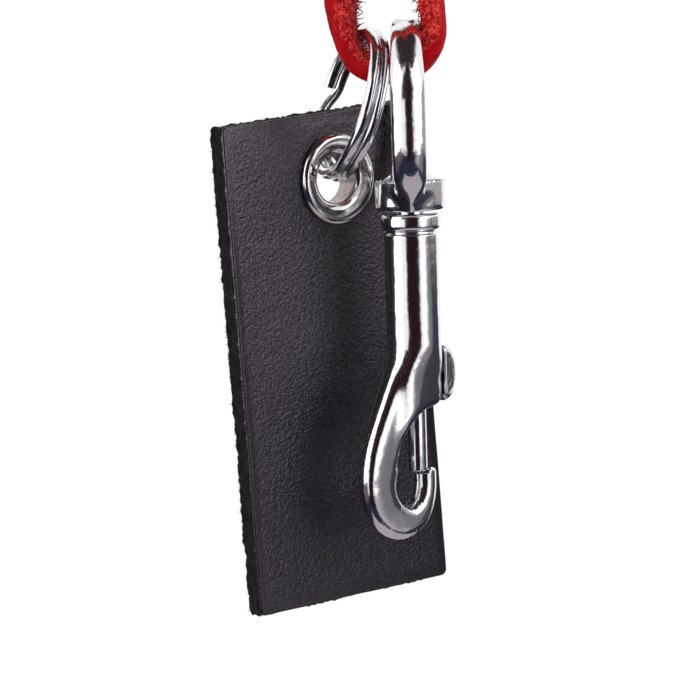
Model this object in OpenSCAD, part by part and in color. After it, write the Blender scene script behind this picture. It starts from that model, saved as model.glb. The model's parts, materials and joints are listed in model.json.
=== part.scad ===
// Hanging leather tag on a split ring, with a swivel bolt snap, both strung on a knotted leather lace.
// Millimetres, +Z up. The origin is the middle of the hanging loop, where a peg goes through the lace.
// The tag lies in the XZ plane with its grain side facing -Y.

/* [Lace] */
// Thickness of the leather lace
lace_d = 4; // [3:0.1:4.4]
// Heading of the plane that the loop hangs in, from +X
lace_turn = -60; // [-64:1:-56]
// Height of the knot
knot_h = 12.5; // [9:0.5:18]
// Free length of the two tails above the knot
tail_l = 9; // [4:0.5:20]

/* [Leather tag] */
// Width of the tag
tag_w = 40; // [34:0.5:44]
// Height of the tag
tag_h = 80; // [60:1:90]
// Thickness of the leather
tag_t = 3.5; // [2.5:0.1:4]
// Radius of the tag's corners
tag_corner = 1; // [0.6:0.1:4]
// Eyelet centre, from the tag's left edge
eyelet_in = 22.7; // [18:0.1:24]
// Eyelet centre, below the tag's top edge
eyelet_down = 11.1; // [10:0.1:12]
// Tilt of the hanging tag in its own plane
tag_roll = 3.6; // [0:0.2:6]

/* [Eyelet] */
// Hole through the eyelet
eyelet_bore = 8; // [7.8:0.1:9]
// Outer diameter of the front flange
eyelet_flange = 15; // [13.5:0.1:16]
// Height of the rolled front flange
flange_h = 1.2; // [0.9:0.1:1.6]
// Wall of the eyelet's barrel
eyelet_wall = 0.5; // [0.3:0.05:0.8]
// Outer diameter of the back washer
washer_d = 14.4; // [13:0.1:16]
// Thickness of the back washer
washer_t = 0.8; // [0.5:0.1:1.2]

/* [Split ring] */
// Outer diameter of the split ring
ring_od = 25.8; // [24:0.1:27]
// Width of one coil along the ring's axis
ring_wire_w = 1.66; // [1.4:0.02:1.8]
// Thickness of the wire across the ring
ring_wire_t = 1.9; // [1.6:0.1:2]
// Gap between the two coils
ring_split = 0.1; // [0.05:0.05:0.2]
// Lean of the hanging ring to the left
ring_lean = 10.9; // [9:0.1:12]
// Heading of the ring's plane, from +X
ring_turn = 63.6; // [60:0.2:66]

/* [Swivel eye] */
// Width of the eye's opening
eye_w = 18; // [16:0.2:18.4]
// Height of the eye's opening, down into the drum
eye_h = 24; // [23:0.2:26]
// Thickness of the eye's limb, seen from its flat side
limb_t = 4.2; // [3.4:0.1:4.4]
// Width of the eye's limb, seen edge on
limb_w = 4.9; // [4:0.1:5]
// Diameter of the swivel drum
drum_d = 12; // [11:0.1:13]
// Height of the swivel drum
drum_h = 4.6; // [3.6:0.1:6]
// Heading of the eye's plane, from +X
eye_turn = 50; // [48:1:52]
// Diameter of the swivel rivet's shank
rivet_d = 4.6; // [3.6:0.1:5.4]
// Diameter of the swivel rivet's head
rivet_head_d = 8.4; // [7:0.1:9]
// Height of the swivel rivet's head
rivet_head_h = 2.4; // [1.6:0.1:3]

/* [Snap body] */
// Diameter of the barrel
barrel_d = 8.6; // [8:0.1:9.4]
// Length of the barrel, from its lip to the throat
barrel_l = 33.6; // [32:0.1:40]
// Diameter of the lip under the swivel drum
lip_d = 9.8; // [9.4:0.1:11]
// Height of the lip
lip_h = 2.7; // [2:0.1:4]
// Bore for the bolt
bolt_bore = 3.3; // [3.3:0.05:4]
// Middle of the hook's spine, from the barrel's axis
spine_x = 8.7; // [8.4:0.1:9.6]
// Thickness of the hook's spine
spine_d = 5.4; // [4.6:0.1:5.6]
// Middle of the hook's tip, from the barrel's axis
tip_x = 1.4; // [1:0.1:2]
// Thickness of the hook's tip
tip_d = 3.8; // [3.2:0.1:4.2]
// Clear height of the gate, from the throat down to the hook's tip
gate_h = 8.2; // [7:0.1:10]
// Depth of the hook's bowl, below the top of its tip
bowl_h = 8.6; // [7:0.1:11]

/* [Bolt] */
// Diameter of the bolt
bolt_d = 3.2; // [3.1:0.05:3.9]
// Length of the bolt
bolt_l = 19.8; // [18:0.1:21]
// Travel of the bolt
bolt_travel = 8.4; // [6:0.1:8.6]
// Height of the thumb knob
knob_h = 9.2; // [7:0.1:10]
// Width of the thumb knob
knob_w = 5; // [4:0.1:6]
// Depth of the thumb knob, away from the barrel
knob_t = 3.4; // [2.4:0.1:4]
// Rounding of the thumb knob's edges
knob_round = 1.2; // [0.8:0.1:1.6]
// Diameter of the knob's stud
stud_d = 2; // [1.4:0.1:2.4]
// Middle of the knob's stud, above the bolt's lower end
stud_up = 15.8; // [14:0.1:16.5]
// Wire of the bolt's spring
spring_wire = 0.5; // [0.3:0.05:0.6]
// Turns of the bolt's spring
spring_turns = 8; // [6:1:9]

/* [Clearances] */
// Running clearance on a radius
running = 0.05; // [0.02:0.01:0.1]
// Space that the turning hook keeps from the tag
swing_gap = 0.5; // [0.4:0.1:1.5]
// Space between the swivel drum and the lip
drum_gap = 0.4; // [0.2:0.1:0.8]
// Space between the ring's wire and the lace
ring_seat = 1.75; // [1.6:0.05:2.2]
// Space between the eye's crown and the lace
eye_seat = 1.2; // [1:0.1:1.8]
// Space between the bolt's end and its seat
seat_gap = 0.3; // [0.2:0.1:0.6]
// Space at the ends and sides of the stud's slot
slot_gap = 0.3; // [0.2:0.05:0.5]

/* [Hidden] */
$fn = 96;

// Route of the lace in its own plane: distance to the right, and height
lace_route = [
    [-2.1, 8], [-2.2, 6], [-3.6, 3.2], [-5.6, 0], [-7, -5], [-7.6, -10], [-7.5, -14], [-7.2, -16.5],
    [-6.5, -19], [-4.8, -21.6], [-2.1, -22.9], [0.9, -23.1], [3.9, -22.5], [6, -21.5], [7.7, -20],
    [8.6, -17.8], [8.7, -15], [8.3, -11], [7.3, -5.5], [5.6, 0], [3.6, 3.2], [2.2, 6], [2.1, 8]
];
lace_sides = 10;
knot_z = 8;

// Where the ring and the eye hang on the lace, with the lace's middle height there
ring_hang = [-0.9, 1.9];
ring_lace_z = -22.5;
eye_lace_z = -22.6;

// Axis of the snap, which hangs plumb
snap_x = 0.5;
snap_y = -4.4;

// Heights of the snap's pieces
eye_top_z = eye_lace_z + lace_d / 2 + eye_seat;
eye_sink = 1.8;
drum_top_z = eye_top_z - eye_h + eye_sink;
lip_top_z = drum_top_z - drum_h - drum_gap;
barrel_top_z = lip_top_z - lip_h;
throat_z = lip_top_z - barrel_l;
tip_top_z = throat_z - gate_h;
seat_depth = 0.8;
seat_z = tip_top_z - seat_depth;
bolt_end_z = seat_z + seat_gap;
bolt_top_z = bolt_end_z + bolt_l;
stud_z = bolt_end_z + stud_up;
socket_depth = 5.5;
socket_z = lip_top_z - socket_depth;
bore_top_z = socket_z - 1;

// Tag and ring
hook_reach = spine_x + spine_d / 2;
tag_y = snap_y + hook_reach + swing_gap;
ring_w = 2 * ring_wire_w + ring_split;
ring_rm = (ring_od - ring_wire_t) / 2;
ring_top = [ring_hang.x, ring_hang.y, ring_lace_z + lace_d / 2 + ring_seat + ring_wire_t / 2];
ring_down_y = (tag_y + tag_t / 2 - ring_top.y) / (2 * ring_rm);
ring_down_x = -sin(ring_lean);
ring_down = [ring_down_x, ring_down_y, -sqrt(1 - ring_down_x ^ 2 - ring_down_y ^ 2)];
ring_side_h = [-cos(ring_turn), -sin(ring_turn)];
ring_side_raw = [
    ring_side_h.x, ring_side_h.y,
    -(ring_down.x * ring_side_h.x + ring_down.y * ring_side_h.y) / ring_down.z
];
ring_side = ring_side_raw / norm(ring_side_raw);
ring_axis = cross(ring_down, ring_side);
ring_centre = ring_top + ring_down * ring_rm;
ring_low = ring_top + 2 * ring_down * ring_rm;
// Place of the wire in the eyelet, from the eyelet's middle
wire_rise = 1;
wire_left = 0.3;
eyelet_r = eyelet_bore / 2;
eyelet_pos = [ring_low.x + wire_left, tag_y, ring_low.z - wire_rise];
// The eyelet's flared end, from the tag's front face
flare_y = tag_t + 0.1;
flare_end_y = tag_t + washer_t + 0.6;
flare_lip = 0.9;
washer_bore = 2 * (eyelet_r + eyelet_wall + washer_t + 0.1);

leather = [0.06, 0.06, 0.065];
red_leather = [0.62, 0.07, 0.06];
chrome = [0.83, 0.84, 0.86];
nickel = [0.72, 0.72, 0.73];

echo(tag_swing_pivot = ring_low);
echo(ring_top = ring_top, ring_axis = ring_axis, ring_down = ring_down);
echo(eyelet_pos = eyelet_pos, tag_y = tag_y, eye_top_z = eye_top_z, drum_top_z = drum_top_z);
echo(throat_z = throat_z, tip_top_z = tip_top_z, bolt_end_z = bolt_end_z, stud_z = stud_z);
echo(bore_top_z = bore_top_z, bolt_top_z = bolt_top_z);

// Rounded rectangle centred on the origin, with true arcs
module rounded(w, h, r) {
    square([w - 2 * r, h], center = true);
    square([w, h - 2 * r], center = true);
    for (x = [-1, 1], y = [-1, 1])
        translate([x * (w / 2 - r), y * (h / 2 - r)]) circle(r);
}

// Faces of a tube made of equal rings, with its two ends closed
function tube_faces(rings, sides) = concat(
    [for (i = [0 : rings - 2], j = [0 : sides - 1])
        [i * sides + j, (i + 1) * sides + (j + 1) % sides, i * sides + (j + 1) % sides]],
    [for (i = [0 : rings - 2], j = [0 : sides - 1])
        [i * sides + j, (i + 1) * sides + j, (i + 1) * sides + (j + 1) % sides]],
    [for (j = [1 : sides - 2]) [0, j, j + 1]],
    [for (j = [1 : sides - 2]) let (e = (rings - 1) * sides) [e, e + j + 1, e + j]]
);

// Unit direction of a flat route at one of its points
function route_dir(p, i) =
    let (a = p[max(i - 1, 0)], b = p[min(i + 1, len(p) - 1)]) (b - a) / norm(b - a);

// Lace: a tube along the flat route, whose two ends stand square on the knot
module lace_loop() {
    last = len(lace_route) - 1;
    r = lace_d / 2 / cos(180 / lace_sides / 2);
    pts = [
        for (i = [0 : last])
            let (
                d = i == 0 ? [0, -1] : i == last ? [0, 1] : route_dir(lace_route, i),
                side = [d.y, -d.x],
                c = lace_route[i]
            )
            for (j = [0 : lace_sides - 1])
                let (a = 360 * j / lace_sides, q = c + side * r * cos(a))
                [q.x, r * sin(a), q.y]
    ];
    color(red_leather) rotate([0, 0, lace_turn])
        polyhedron(pts, tube_faces(last + 1, lace_sides), convexity = 6);
}

// Knot that closes the loop, with the two tails standing out of its top
module lace_knot() {
    strand = lace_route[0].x;
    core_w = 2 * abs(strand) + lace_d;
    tail_lean = 8;
    color(red_leather) rotate([0, 0, lace_turn]) {
        translate([0, 0, knot_z]) linear_extrude(knot_h)
            rounded(core_w + 2 * lace_d, 3 * lace_d, 1.5 * lace_d - 0.01);
        for (s = [-1, 1])
            translate([s * strand, 0, knot_z + knot_h - lace_d]) rotate([0, -s * tail_lean, 0])
                cylinder(d = lace_d, h = tail_l + lace_d);
    }
}

// One flat coil of the ring, open at its cut end
module ring_coil(z, from, turn) {
    translate([0, 0, z]) rotate(from) rotate_extrude(angle = turn)
        translate([ring_rm, 0]) rounded(ring_wire_t, ring_wire_w, ring_wire_w / 2 - 0.1);
}

// Split ring: two coils of one wire, joined by the jog where the wire steps across.
// The jog stands at an angle round the ring, and each coil's cut end stays clear of it.
module split_ring() {
    jog_at = 282;
    jog = 14;
    cut = 4;
    lap = 2;
    step = ring_wire_w + ring_split;
    tilt = atan(step / (2 * ring_rm * sin(jog / 2)));
    frame = [
        [ring_down.x, ring_side.x, ring_axis.x, ring_centre.x],
        [ring_down.y, ring_side.y, ring_axis.y, ring_centre.y],
        [ring_down.z, ring_side.z, ring_axis.z, ring_centre.z],
        [0, 0, 0, 1]
    ];
    color(chrome) multmatrix(frame) {
        ring_coil(-step / 2, jog_at + jog / 2 + cut, 360 - jog - cut + lap);
        ring_coil(step / 2, jog_at + jog / 2 - lap, 360 - jog - cut + lap);
        rotate(jog_at) rotate([tilt, 0, 0]) ring_coil(0, -jog / 2 - lap / 2, jog + lap);
    }
}

// Tag: a leather rectangle with round corners and the eyelet's hole
module leather_tag() {
    color(leather) translate(eyelet_pos) rotate([0, -tag_roll, 0]) difference() {
        translate([tag_w / 2 - eyelet_in, tag_t, eyelet_down - tag_h / 2]) rotate([90, 0, 0])
            linear_extrude(tag_t) rounded(tag_w, tag_h, tag_corner);
        translate([0, -1, 0]) rotate([-90, 0, 0])
            cylinder(r = eyelet_r + eyelet_wall, h = tag_t + 2);
    }
}

// Eyelet: rolled front flange, barrel through the leather and end flared over the washer
module eyelet() {
    roll_r = flange_h / 2;
    color(nickel) translate(eyelet_pos) rotate([-90, 0, 0]) rotate_extrude() {
        translate([eyelet_r, -roll_r]) square([eyelet_wall, flare_y + roll_r]);
        translate([eyelet_r + roll_r, -flange_h])
            square([eyelet_flange / 2 - eyelet_r - 2 * roll_r, flange_h]);
        for (r = [eyelet_r + roll_r, eyelet_flange / 2 - roll_r])
            translate([r, -roll_r]) circle(roll_r);
        translate([eyelet_flange / 2 - 2 * roll_r, -roll_r]) square([2 * roll_r, roll_r]);
        polygon([
            [eyelet_r, flare_y],
            [eyelet_r, flare_y - 0.1],
            [eyelet_r + eyelet_wall, flare_y - 0.1],
            [eyelet_r + eyelet_wall, flare_y],
            [washer_bore / 2, tag_t + washer_t],
            [washer_bore / 2 + flare_lip, tag_t + washer_t],
            [washer_bore / 2 + flare_lip, flare_end_y],
            [eyelet_r + flare_end_y - flare_y, flare_end_y]
        ]);
    }
}

// Flat washer on the suede side
module eyelet_washer() {
    edge = 0.3;
    color(nickel) translate(eyelet_pos + [0, tag_t, 0]) rotate([-90, 0, 0]) difference() {
        rotate_extrude() {
            square([washer_d / 2 - edge, washer_t]);
            square([washer_d / 2, washer_t - edge]);
            translate([washer_d / 2 - edge, washer_t - edge]) circle(edge);
        }
        translate([0, 0, -1]) cylinder(d = washer_bore, h = washer_t + 2);
    }
}

// Swivel eye: upright loop on a round drum that turns on the rivet
module swivel_eye() {
    bend = eye_w / 2;
    straight = eye_h - eye_w;
    mid = limb_t / 2;
    corner = limb_t / 2 - 0.15;
    drum_edge = 1.2;
    color(chrome) translate([snap_x, snap_y, 0]) rotate(eye_turn) difference() {
        union() {
            translate([0, 0, eye_top_z - bend]) rotate([90, 0, 0])
                rotate_extrude(angle = 180) translate([bend + mid, 0]) rounded(limb_t, limb_w, corner);
            translate([0, 0, eye_top_z - eye_h + bend]) rotate([-90, 0, 0])
                rotate_extrude(angle = 180) translate([bend + mid, 0]) rounded(limb_t, limb_w, corner);
            for (s = [-1, 1])
                translate([s * (bend + mid), 0, eye_top_z - bend - straight])
                    linear_extrude(straight) rounded(limb_t, limb_w, corner);
            translate([0, 0, drum_top_z - drum_h]) rotate_extrude() {
                square([drum_d / 2 - drum_edge, drum_h]);
                translate([0, drum_edge]) square([drum_d / 2, drum_h - 2 * drum_edge]);
                for (z = [drum_edge, drum_h - drum_edge])
                    translate([drum_d / 2 - drum_edge, z]) circle(drum_edge);
            }
        }
        translate([0, 0, drum_top_z - drum_h - 1])
            cylinder(d = rivet_d + 2 * running, h = drum_h + 2);
        translate([0, 0, drum_top_z])
            cylinder(d = rivet_head_d + 2 * slot_gap, h = rivet_head_h + 4 * slot_gap);
        translate([0, 0, drum_top_z - drum_h - limb_t])
            cylinder(d = drum_d + 2 * limb_t, h = limb_t);
    }
}

// Rivet that holds the eye on the body and lets it turn
module swivel_rivet() {
    head_z = drum_top_z + slot_gap / 2;
    dome = (rivet_head_d ^ 2 / 4 + rivet_head_h ^ 2) / (2 * rivet_head_h);
    color(chrome) translate([snap_x, snap_y, 0]) {
        translate([0, 0, socket_z]) cylinder(d = rivet_d, h = head_z - socket_z + 0.1);
        intersection() {
            translate([0, 0, head_z + rivet_head_h - dome]) sphere(dome);
            translate([0, 0, head_z]) cylinder(d = rivet_head_d, h = rivet_head_h);
        }
    }
}

// Easing from 0 to 1 with level ends
function ease(t) = t * t * (3 - 2 * t);

// Middle line of the hook, with its radius: down the neck, round the bowl and up the tip
neck_top_z = throat_z + 13.6;
neck_end_z = tip_top_z - 2.2;
neck_r = barrel_d / 2 - 0.25;
neck_rings = 10;
bowl_rings = 16;
bowl_mid_x = (tip_x - spine_x) / 2;
bowl_a = (tip_x + spine_x) / 2;
hook_line = concat(
    [for (i = [0 : neck_rings]) let (s = i / neck_rings)
        [-spine_x * ease(s), neck_top_z + (neck_end_z - neck_top_z) * s,
            neck_r + (spine_d / 2 - neck_r) * s]],
    [for (i = [1 : bowl_rings]) let (a = 180 * i / bowl_rings)
        [bowl_mid_x - bowl_a * cos(a), neck_end_z - (bowl_h - 2.2) * sin(a),
            spine_d / 2 + (tip_d - spine_d) / 2 * ease(max(0, (a - 60) / 120))]],
    [[tip_x, tip_top_z - 0.7, tip_d / 2], [tip_x, tip_top_z, tip_d / 2 - 0.6]]
);

// Hook swept along its middle line
module hook() {
    sides = 16;
    flat = [for (p = hook_line) [p.x, p.y]];
    pts = [
        for (i = [0 : len(flat) - 1])
            let (d = route_dir(flat, i), side = [d.y, -d.x], r = hook_line[i].z / cos(180 / sides / 2))
            for (j = [0 : sides - 1])
                let (a = 360 * j / sides, q = flat[i] + side * r * cos(a))
                [q.x, r * sin(a), q.y]
    ];
    polyhedron(pts, tube_faces(len(flat), sides), convexity = 6);
}

// Body of the snap: lip, hollow barrel with the stud's slot, and hook
module snap_body() {
    throat_r = 7.6;
    throat_x = 2.9;
    throat_rise = 1.8;
    web = throat_r - throat_rise - 0.2;
    groove = 0.35;
    slot_w = stud_d + 2 * slot_gap;
    slot_low = stud_z - stud_d / 2 - slot_gap;
    slot_high = stud_z + bolt_travel + stud_d / 2 + slot_gap;
    color(chrome) translate([snap_x, snap_y, 0]) difference() {
        union() {
            translate([0, 0, barrel_top_z]) rotate_extrude() {
                square([lip_d / 2 - 0.8, lip_h]);
                translate([0, 0.8]) square([lip_d / 2, lip_h - 1.6]);
                for (z = [0.8, lip_h - 0.8])
                    translate([lip_d / 2 - 0.8, z]) circle(0.8);
            }
            translate([0, 0, throat_z - web]) cylinder(d = barrel_d, h = barrel_top_z - throat_z + web);
            hook();
        }
        translate([throat_x, 0, throat_z + throat_rise - throat_r]) intersection() {
            rotate([90, 0, 0]) cylinder(r = throat_r, h = 3 * barrel_d, center = true);
            translate([-throat_r, -barrel_d, 0]) cube([2 * throat_r, 2 * barrel_d, throat_r]);
        }
        translate([0, 0, throat_z - web]) cylinder(d = bolt_bore, h = bore_top_z - throat_z + web);
        translate([0, 0, socket_z]) cylinder(d = rivet_d, h = socket_depth + 1);
        translate([0, -slot_w / 2, slot_low]) cube([barrel_d, slot_w, slot_high - slot_low]);
        translate([0, 0, barrel_top_z - 0.6]) rotate_extrude()
            translate([barrel_d / 2 - groove, 0]) square([1, 0.6]);
        translate([0, 0, seat_z]) cylinder(d = bolt_bore + 2 * slot_gap, h = gate_h);
    }
}

// Bolt that closes the hook, with a cross hole for the knob's stud
module bolt() {
    edge = 0.4;
    color(chrome) translate([snap_x, snap_y, 0]) difference() {
        union() {
            translate([0, 0, bolt_end_z + edge]) cylinder(d = bolt_d, h = bolt_l - edge);
            translate([0, 0, bolt_end_z]) cylinder(d1 = bolt_d - 2 * edge, d2 = bolt_d, h = edge);
        }
        translate([0, 0, stud_z]) rotate([0, 90, 0]) cylinder(d = stud_d, h = bolt_d);
    }
}

// Thumb knob on its stud
module thumb_knob() {
    foot = barrel_d / 2 + slot_gap;
    color(chrome) translate([snap_x, snap_y, stud_z]) {
        rotate([0, 90, 0]) cylinder(d = stud_d, h = foot + knob_t / 2);
        intersection() {
            translate([foot, -knob_w / 2, -knob_h / 2]) cube([knob_t, knob_w, knob_h]);
            translate([foot, 0, 0]) rotate([90, 0, 0]) linear_extrude(knob_w, center = true)
                rounded(2 * knob_t, knob_h, knob_t - knob_round / 2);
            translate([foot, 0, 0]) linear_extrude(knob_h, center = true)
                rounded(2 * knob_t, knob_w, knob_round);
        }
    }
}

// Spring behind the bolt: one wire wound in a helix
spring_r = bolt_bore / 2 - spring_wire / 2 - 0.15;
spring_low = bolt_top_z + 0.1;
spring_high = bore_top_z - 0.1;
spring_pitch = (spring_high - spring_low - spring_wire) / spring_turns;
spring_gap = spring_pitch - spring_wire;
echo(spring_gap = spring_gap, spring_low = spring_low, spring_high = spring_high);
module bolt_spring() {
    per_turn = 8;
    sides = 6;
    rings = spring_turns * per_turn + 1;
    rise = spring_pitch / per_turn;
    pts = [
        for (i = [0 : rings - 1])
            let (t = 360 * i / per_turn, z = spring_low + spring_wire / 2 + rise * i)
            for (j = [0 : sides - 1])
                let (a = 360 * j / sides, q = spring_r + spring_wire / 2 * cos(a))
                [q * cos(t), q * sin(t), z + spring_wire / 2 * sin(a)]
    ];
    color(nickel) translate([snap_x, snap_y, 0])
        polyhedron(pts, tube_faces(rings, sides), convexity = 10);
}

lace_loop();
lace_knot();
split_ring();
leather_tag();
eyelet();
eyelet_washer();
swivel_eye();
swivel_rivet();
snap_body();
bolt();
thumb_knob();
bolt_spring();
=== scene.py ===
"""Looks of a hanging leather tag with a split ring and a swivel bolt snap, strung on a knotted lace.

Sizes are in millimetres, in the part's own frame, and are turned into metres where a mesh is made.
"""

import json
import logging
import math
from collections.abc import Callable, Iterator, Sequence
from contextlib import contextmanager
from dataclasses import dataclass
from enum import Enum, IntEnum

import bmesh
import bpy
import numpy as np
from mathutils import Matrix, Vector, noise


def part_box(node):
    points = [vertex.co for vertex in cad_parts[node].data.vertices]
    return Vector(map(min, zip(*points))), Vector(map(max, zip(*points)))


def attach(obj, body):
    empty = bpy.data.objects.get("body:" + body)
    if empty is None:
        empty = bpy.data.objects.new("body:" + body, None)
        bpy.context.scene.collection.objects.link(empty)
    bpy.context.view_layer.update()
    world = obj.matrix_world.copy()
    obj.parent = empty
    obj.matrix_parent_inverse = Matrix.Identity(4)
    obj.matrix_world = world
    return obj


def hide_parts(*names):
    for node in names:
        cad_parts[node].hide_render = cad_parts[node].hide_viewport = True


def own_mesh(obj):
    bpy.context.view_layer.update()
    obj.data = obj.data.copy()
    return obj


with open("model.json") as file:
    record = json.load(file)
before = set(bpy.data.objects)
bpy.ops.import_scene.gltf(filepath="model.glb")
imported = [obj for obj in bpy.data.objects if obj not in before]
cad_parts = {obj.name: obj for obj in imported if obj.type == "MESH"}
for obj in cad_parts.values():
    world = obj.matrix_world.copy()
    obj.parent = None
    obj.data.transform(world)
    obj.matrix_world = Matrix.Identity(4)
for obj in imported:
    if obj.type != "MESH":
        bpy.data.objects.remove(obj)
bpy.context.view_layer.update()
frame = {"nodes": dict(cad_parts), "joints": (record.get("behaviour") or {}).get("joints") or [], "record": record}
MM = 0.001
UP = (0.0, 0.0, 1.0)
LEVEL = (1.0, 1.0, 0.0)
SHARP = 40.0
TURNED_STEPS = 96
LOG = logging.getLogger("hang_tag")

Piece = bpy.types.Object
Material = bpy.types.Material
Colour = tuple[float, float, float]
Shape = Callable[[np.ndarray], np.ndarray]
Pair = tuple[float, float]


class Body(Enum):
    """Bodies of the frame that pieces ride on."""

    LACE = "lace"
    RING = "ring"
    TAG = "tag"
    EYE = "eye"
    SNAP = "snap"
    PLUNGER = "plunger"


class Slot(Enum):
    """Material slots of the record."""

    LACE = "red_lace"
    LEATHER = "black_leather"
    CHROME = "chrome"
    NICKEL = "nickel"
    SPRING = "spring_steel"


class Side(IntEnum):
    """Sides of the tag, by the place of their material."""

    FRONT = 0
    EDGE = 1
    BACK = 2


# Places read from the frame


def corners(node: str) -> tuple[np.ndarray, np.ndarray]:
    """Gives the lowest and highest corner of a CAD node.

    Args:
        node: Name of the node.

    Returns:
        The two corners in millimetres.
    """
    low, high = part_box(node)
    return np.array(low) / MM, np.array(high) / MM


def centre_of(node: str) -> np.ndarray:
    """Gives the middle of a CAD node's box, in millimetres."""
    low, high = corners(node)
    return (low + high) / 2


def eyelet_seat() -> np.ndarray:
    """Gives the eyelet's middle on the front face of the leather, in millimetres."""
    x, _, z = centre_of("eyelet")
    return np.array([x, corners("leather_tag")[0][1], z])


def named(kind: str, name: str) -> dict:
    """Finds a joint or a mount of the record by its name.

    Args:
        kind: "joints" or "mounts".
        name: Name of the joint or mount.

    Returns:
        Its entry in the record.
    """
    entries = frame["joints"] if kind == "joints" else frame["record"]["mounts"]
    return next(entry for entry in entries if entry["name"] == name)


# Small helpers


def unit(vectors: Sequence[float] | np.ndarray) -> np.ndarray:
    """Scales a vector, or each row of an array, to length one."""
    array = np.asarray(vectors, float)
    return array / np.linalg.norm(array, axis=-1, keepdims=True)


def spun(first: np.ndarray, second: np.ndarray, degrees: float) -> tuple[np.ndarray, np.ndarray]:
    """Gives two coordinates along axes that are turned by an angle."""
    a = math.radians(degrees)
    return first * math.cos(a) + second * math.sin(a), second * math.cos(a) - first * math.sin(a)


def matrix_of(*columns: np.ndarray) -> Matrix:
    """Joins three directions and a place into one matrix."""
    return Matrix([*np.stack(columns, axis=1).tolist(), (0.0, 0.0, 0.0, 1.0)])


def add_object(name: str, data: bpy.types.ID) -> Piece:
    """Adds an object with that data to the scene."""
    made = bpy.data.objects.new(name, data)
    bpy.context.scene.collection.objects.link(made)
    return made


# Node trees


class Sock:
    """A node's output that takes part in sums and products as a number does."""

    def __init__(self, tree: "Nodes", socket: bpy.types.NodeSocket) -> None:
        """Keeps the socket and the tree that it belongs to."""
        self.tree = tree
        self.socket = socket

    def _math(self, operation: str, first: "Sock | float", second: "Sock | float") -> "Sock":
        """Adds one Math node."""
        return self.tree.node("ShaderNodeMath", {"operation": operation}, {0: first, 1: second})

    def __add__(self, other: "Sock | float") -> "Sock":
        """Adds."""
        return self._math("ADD", self, other)

    def __radd__(self, other: float) -> "Sock":
        """Adds to a plain number."""
        return self._math("ADD", other, self)

    def __sub__(self, other: "Sock | float") -> "Sock":
        """Subtracts."""
        return self._math("SUBTRACT", self, other)

    def __rsub__(self, other: float) -> "Sock":
        """Subtracts from a plain number."""
        return self._math("SUBTRACT", other, self)

    def __mul__(self, other: "Sock | float") -> "Sock":
        """Multiplies."""
        return self._math("MULTIPLY", self, other)

    def __rmul__(self, other: float) -> "Sock":
        """Multiplies a plain number."""
        return self._math("MULTIPLY", other, self)


class Nodes:
    """A shader or geometry tree that is built in code."""

    def __init__(self, tree: bpy.types.NodeTree) -> None:
        """Takes over an empty tree."""
        self.tree = tree
        tree.nodes.clear()

    @staticmethod
    def _find(sockets: bpy.types.bpy_prop_collection, key: str | int) -> bpy.types.NodeSocket:
        """Finds a socket by its place, identifier or name."""
        if isinstance(key, int):
            return sockets[key]
        by_identifier = [s for s in sockets if s.identifier == key]
        return (by_identifier or [s for s in sockets if s.name == key])[0]

    def node(
        self,
        kind: str,
        settings: dict | None = None,
        sockets: dict | None = None,
        out: str | int = 0,
    ) -> Sock:
        """Adds a node, with its settings first and its sockets after them.

        Args:
            kind: Type of the node.
            settings: Its properties.
            sockets: Values or links by the name, identifier or place of the input.
            out: The output that is handed back.

        Returns:
            That output.
        """
        made = self.tree.nodes.new(kind)
        for name, value in (settings or {}).items():
            setattr(made, name, value)
        for key, value in (sockets or {}).items():
            socket = self._find(made.inputs, key)
            if isinstance(value, Sock):
                self.tree.links.new(value.socket, socket)
            else:
                socket.default_value = value
        return Sock(self, self._find(made.outputs, out) if made.outputs else None)

    def steps(self, value: Sock, low: float, high: float) -> Sock:
        """Eases a value from 0 at low to 1 at high."""
        sockets = {"Value": value, "From Min": low, "From Max": high}
        return self.node("ShaderNodeMapRange", {"interpolation_type": "SMOOTHSTEP"}, sockets)


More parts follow.
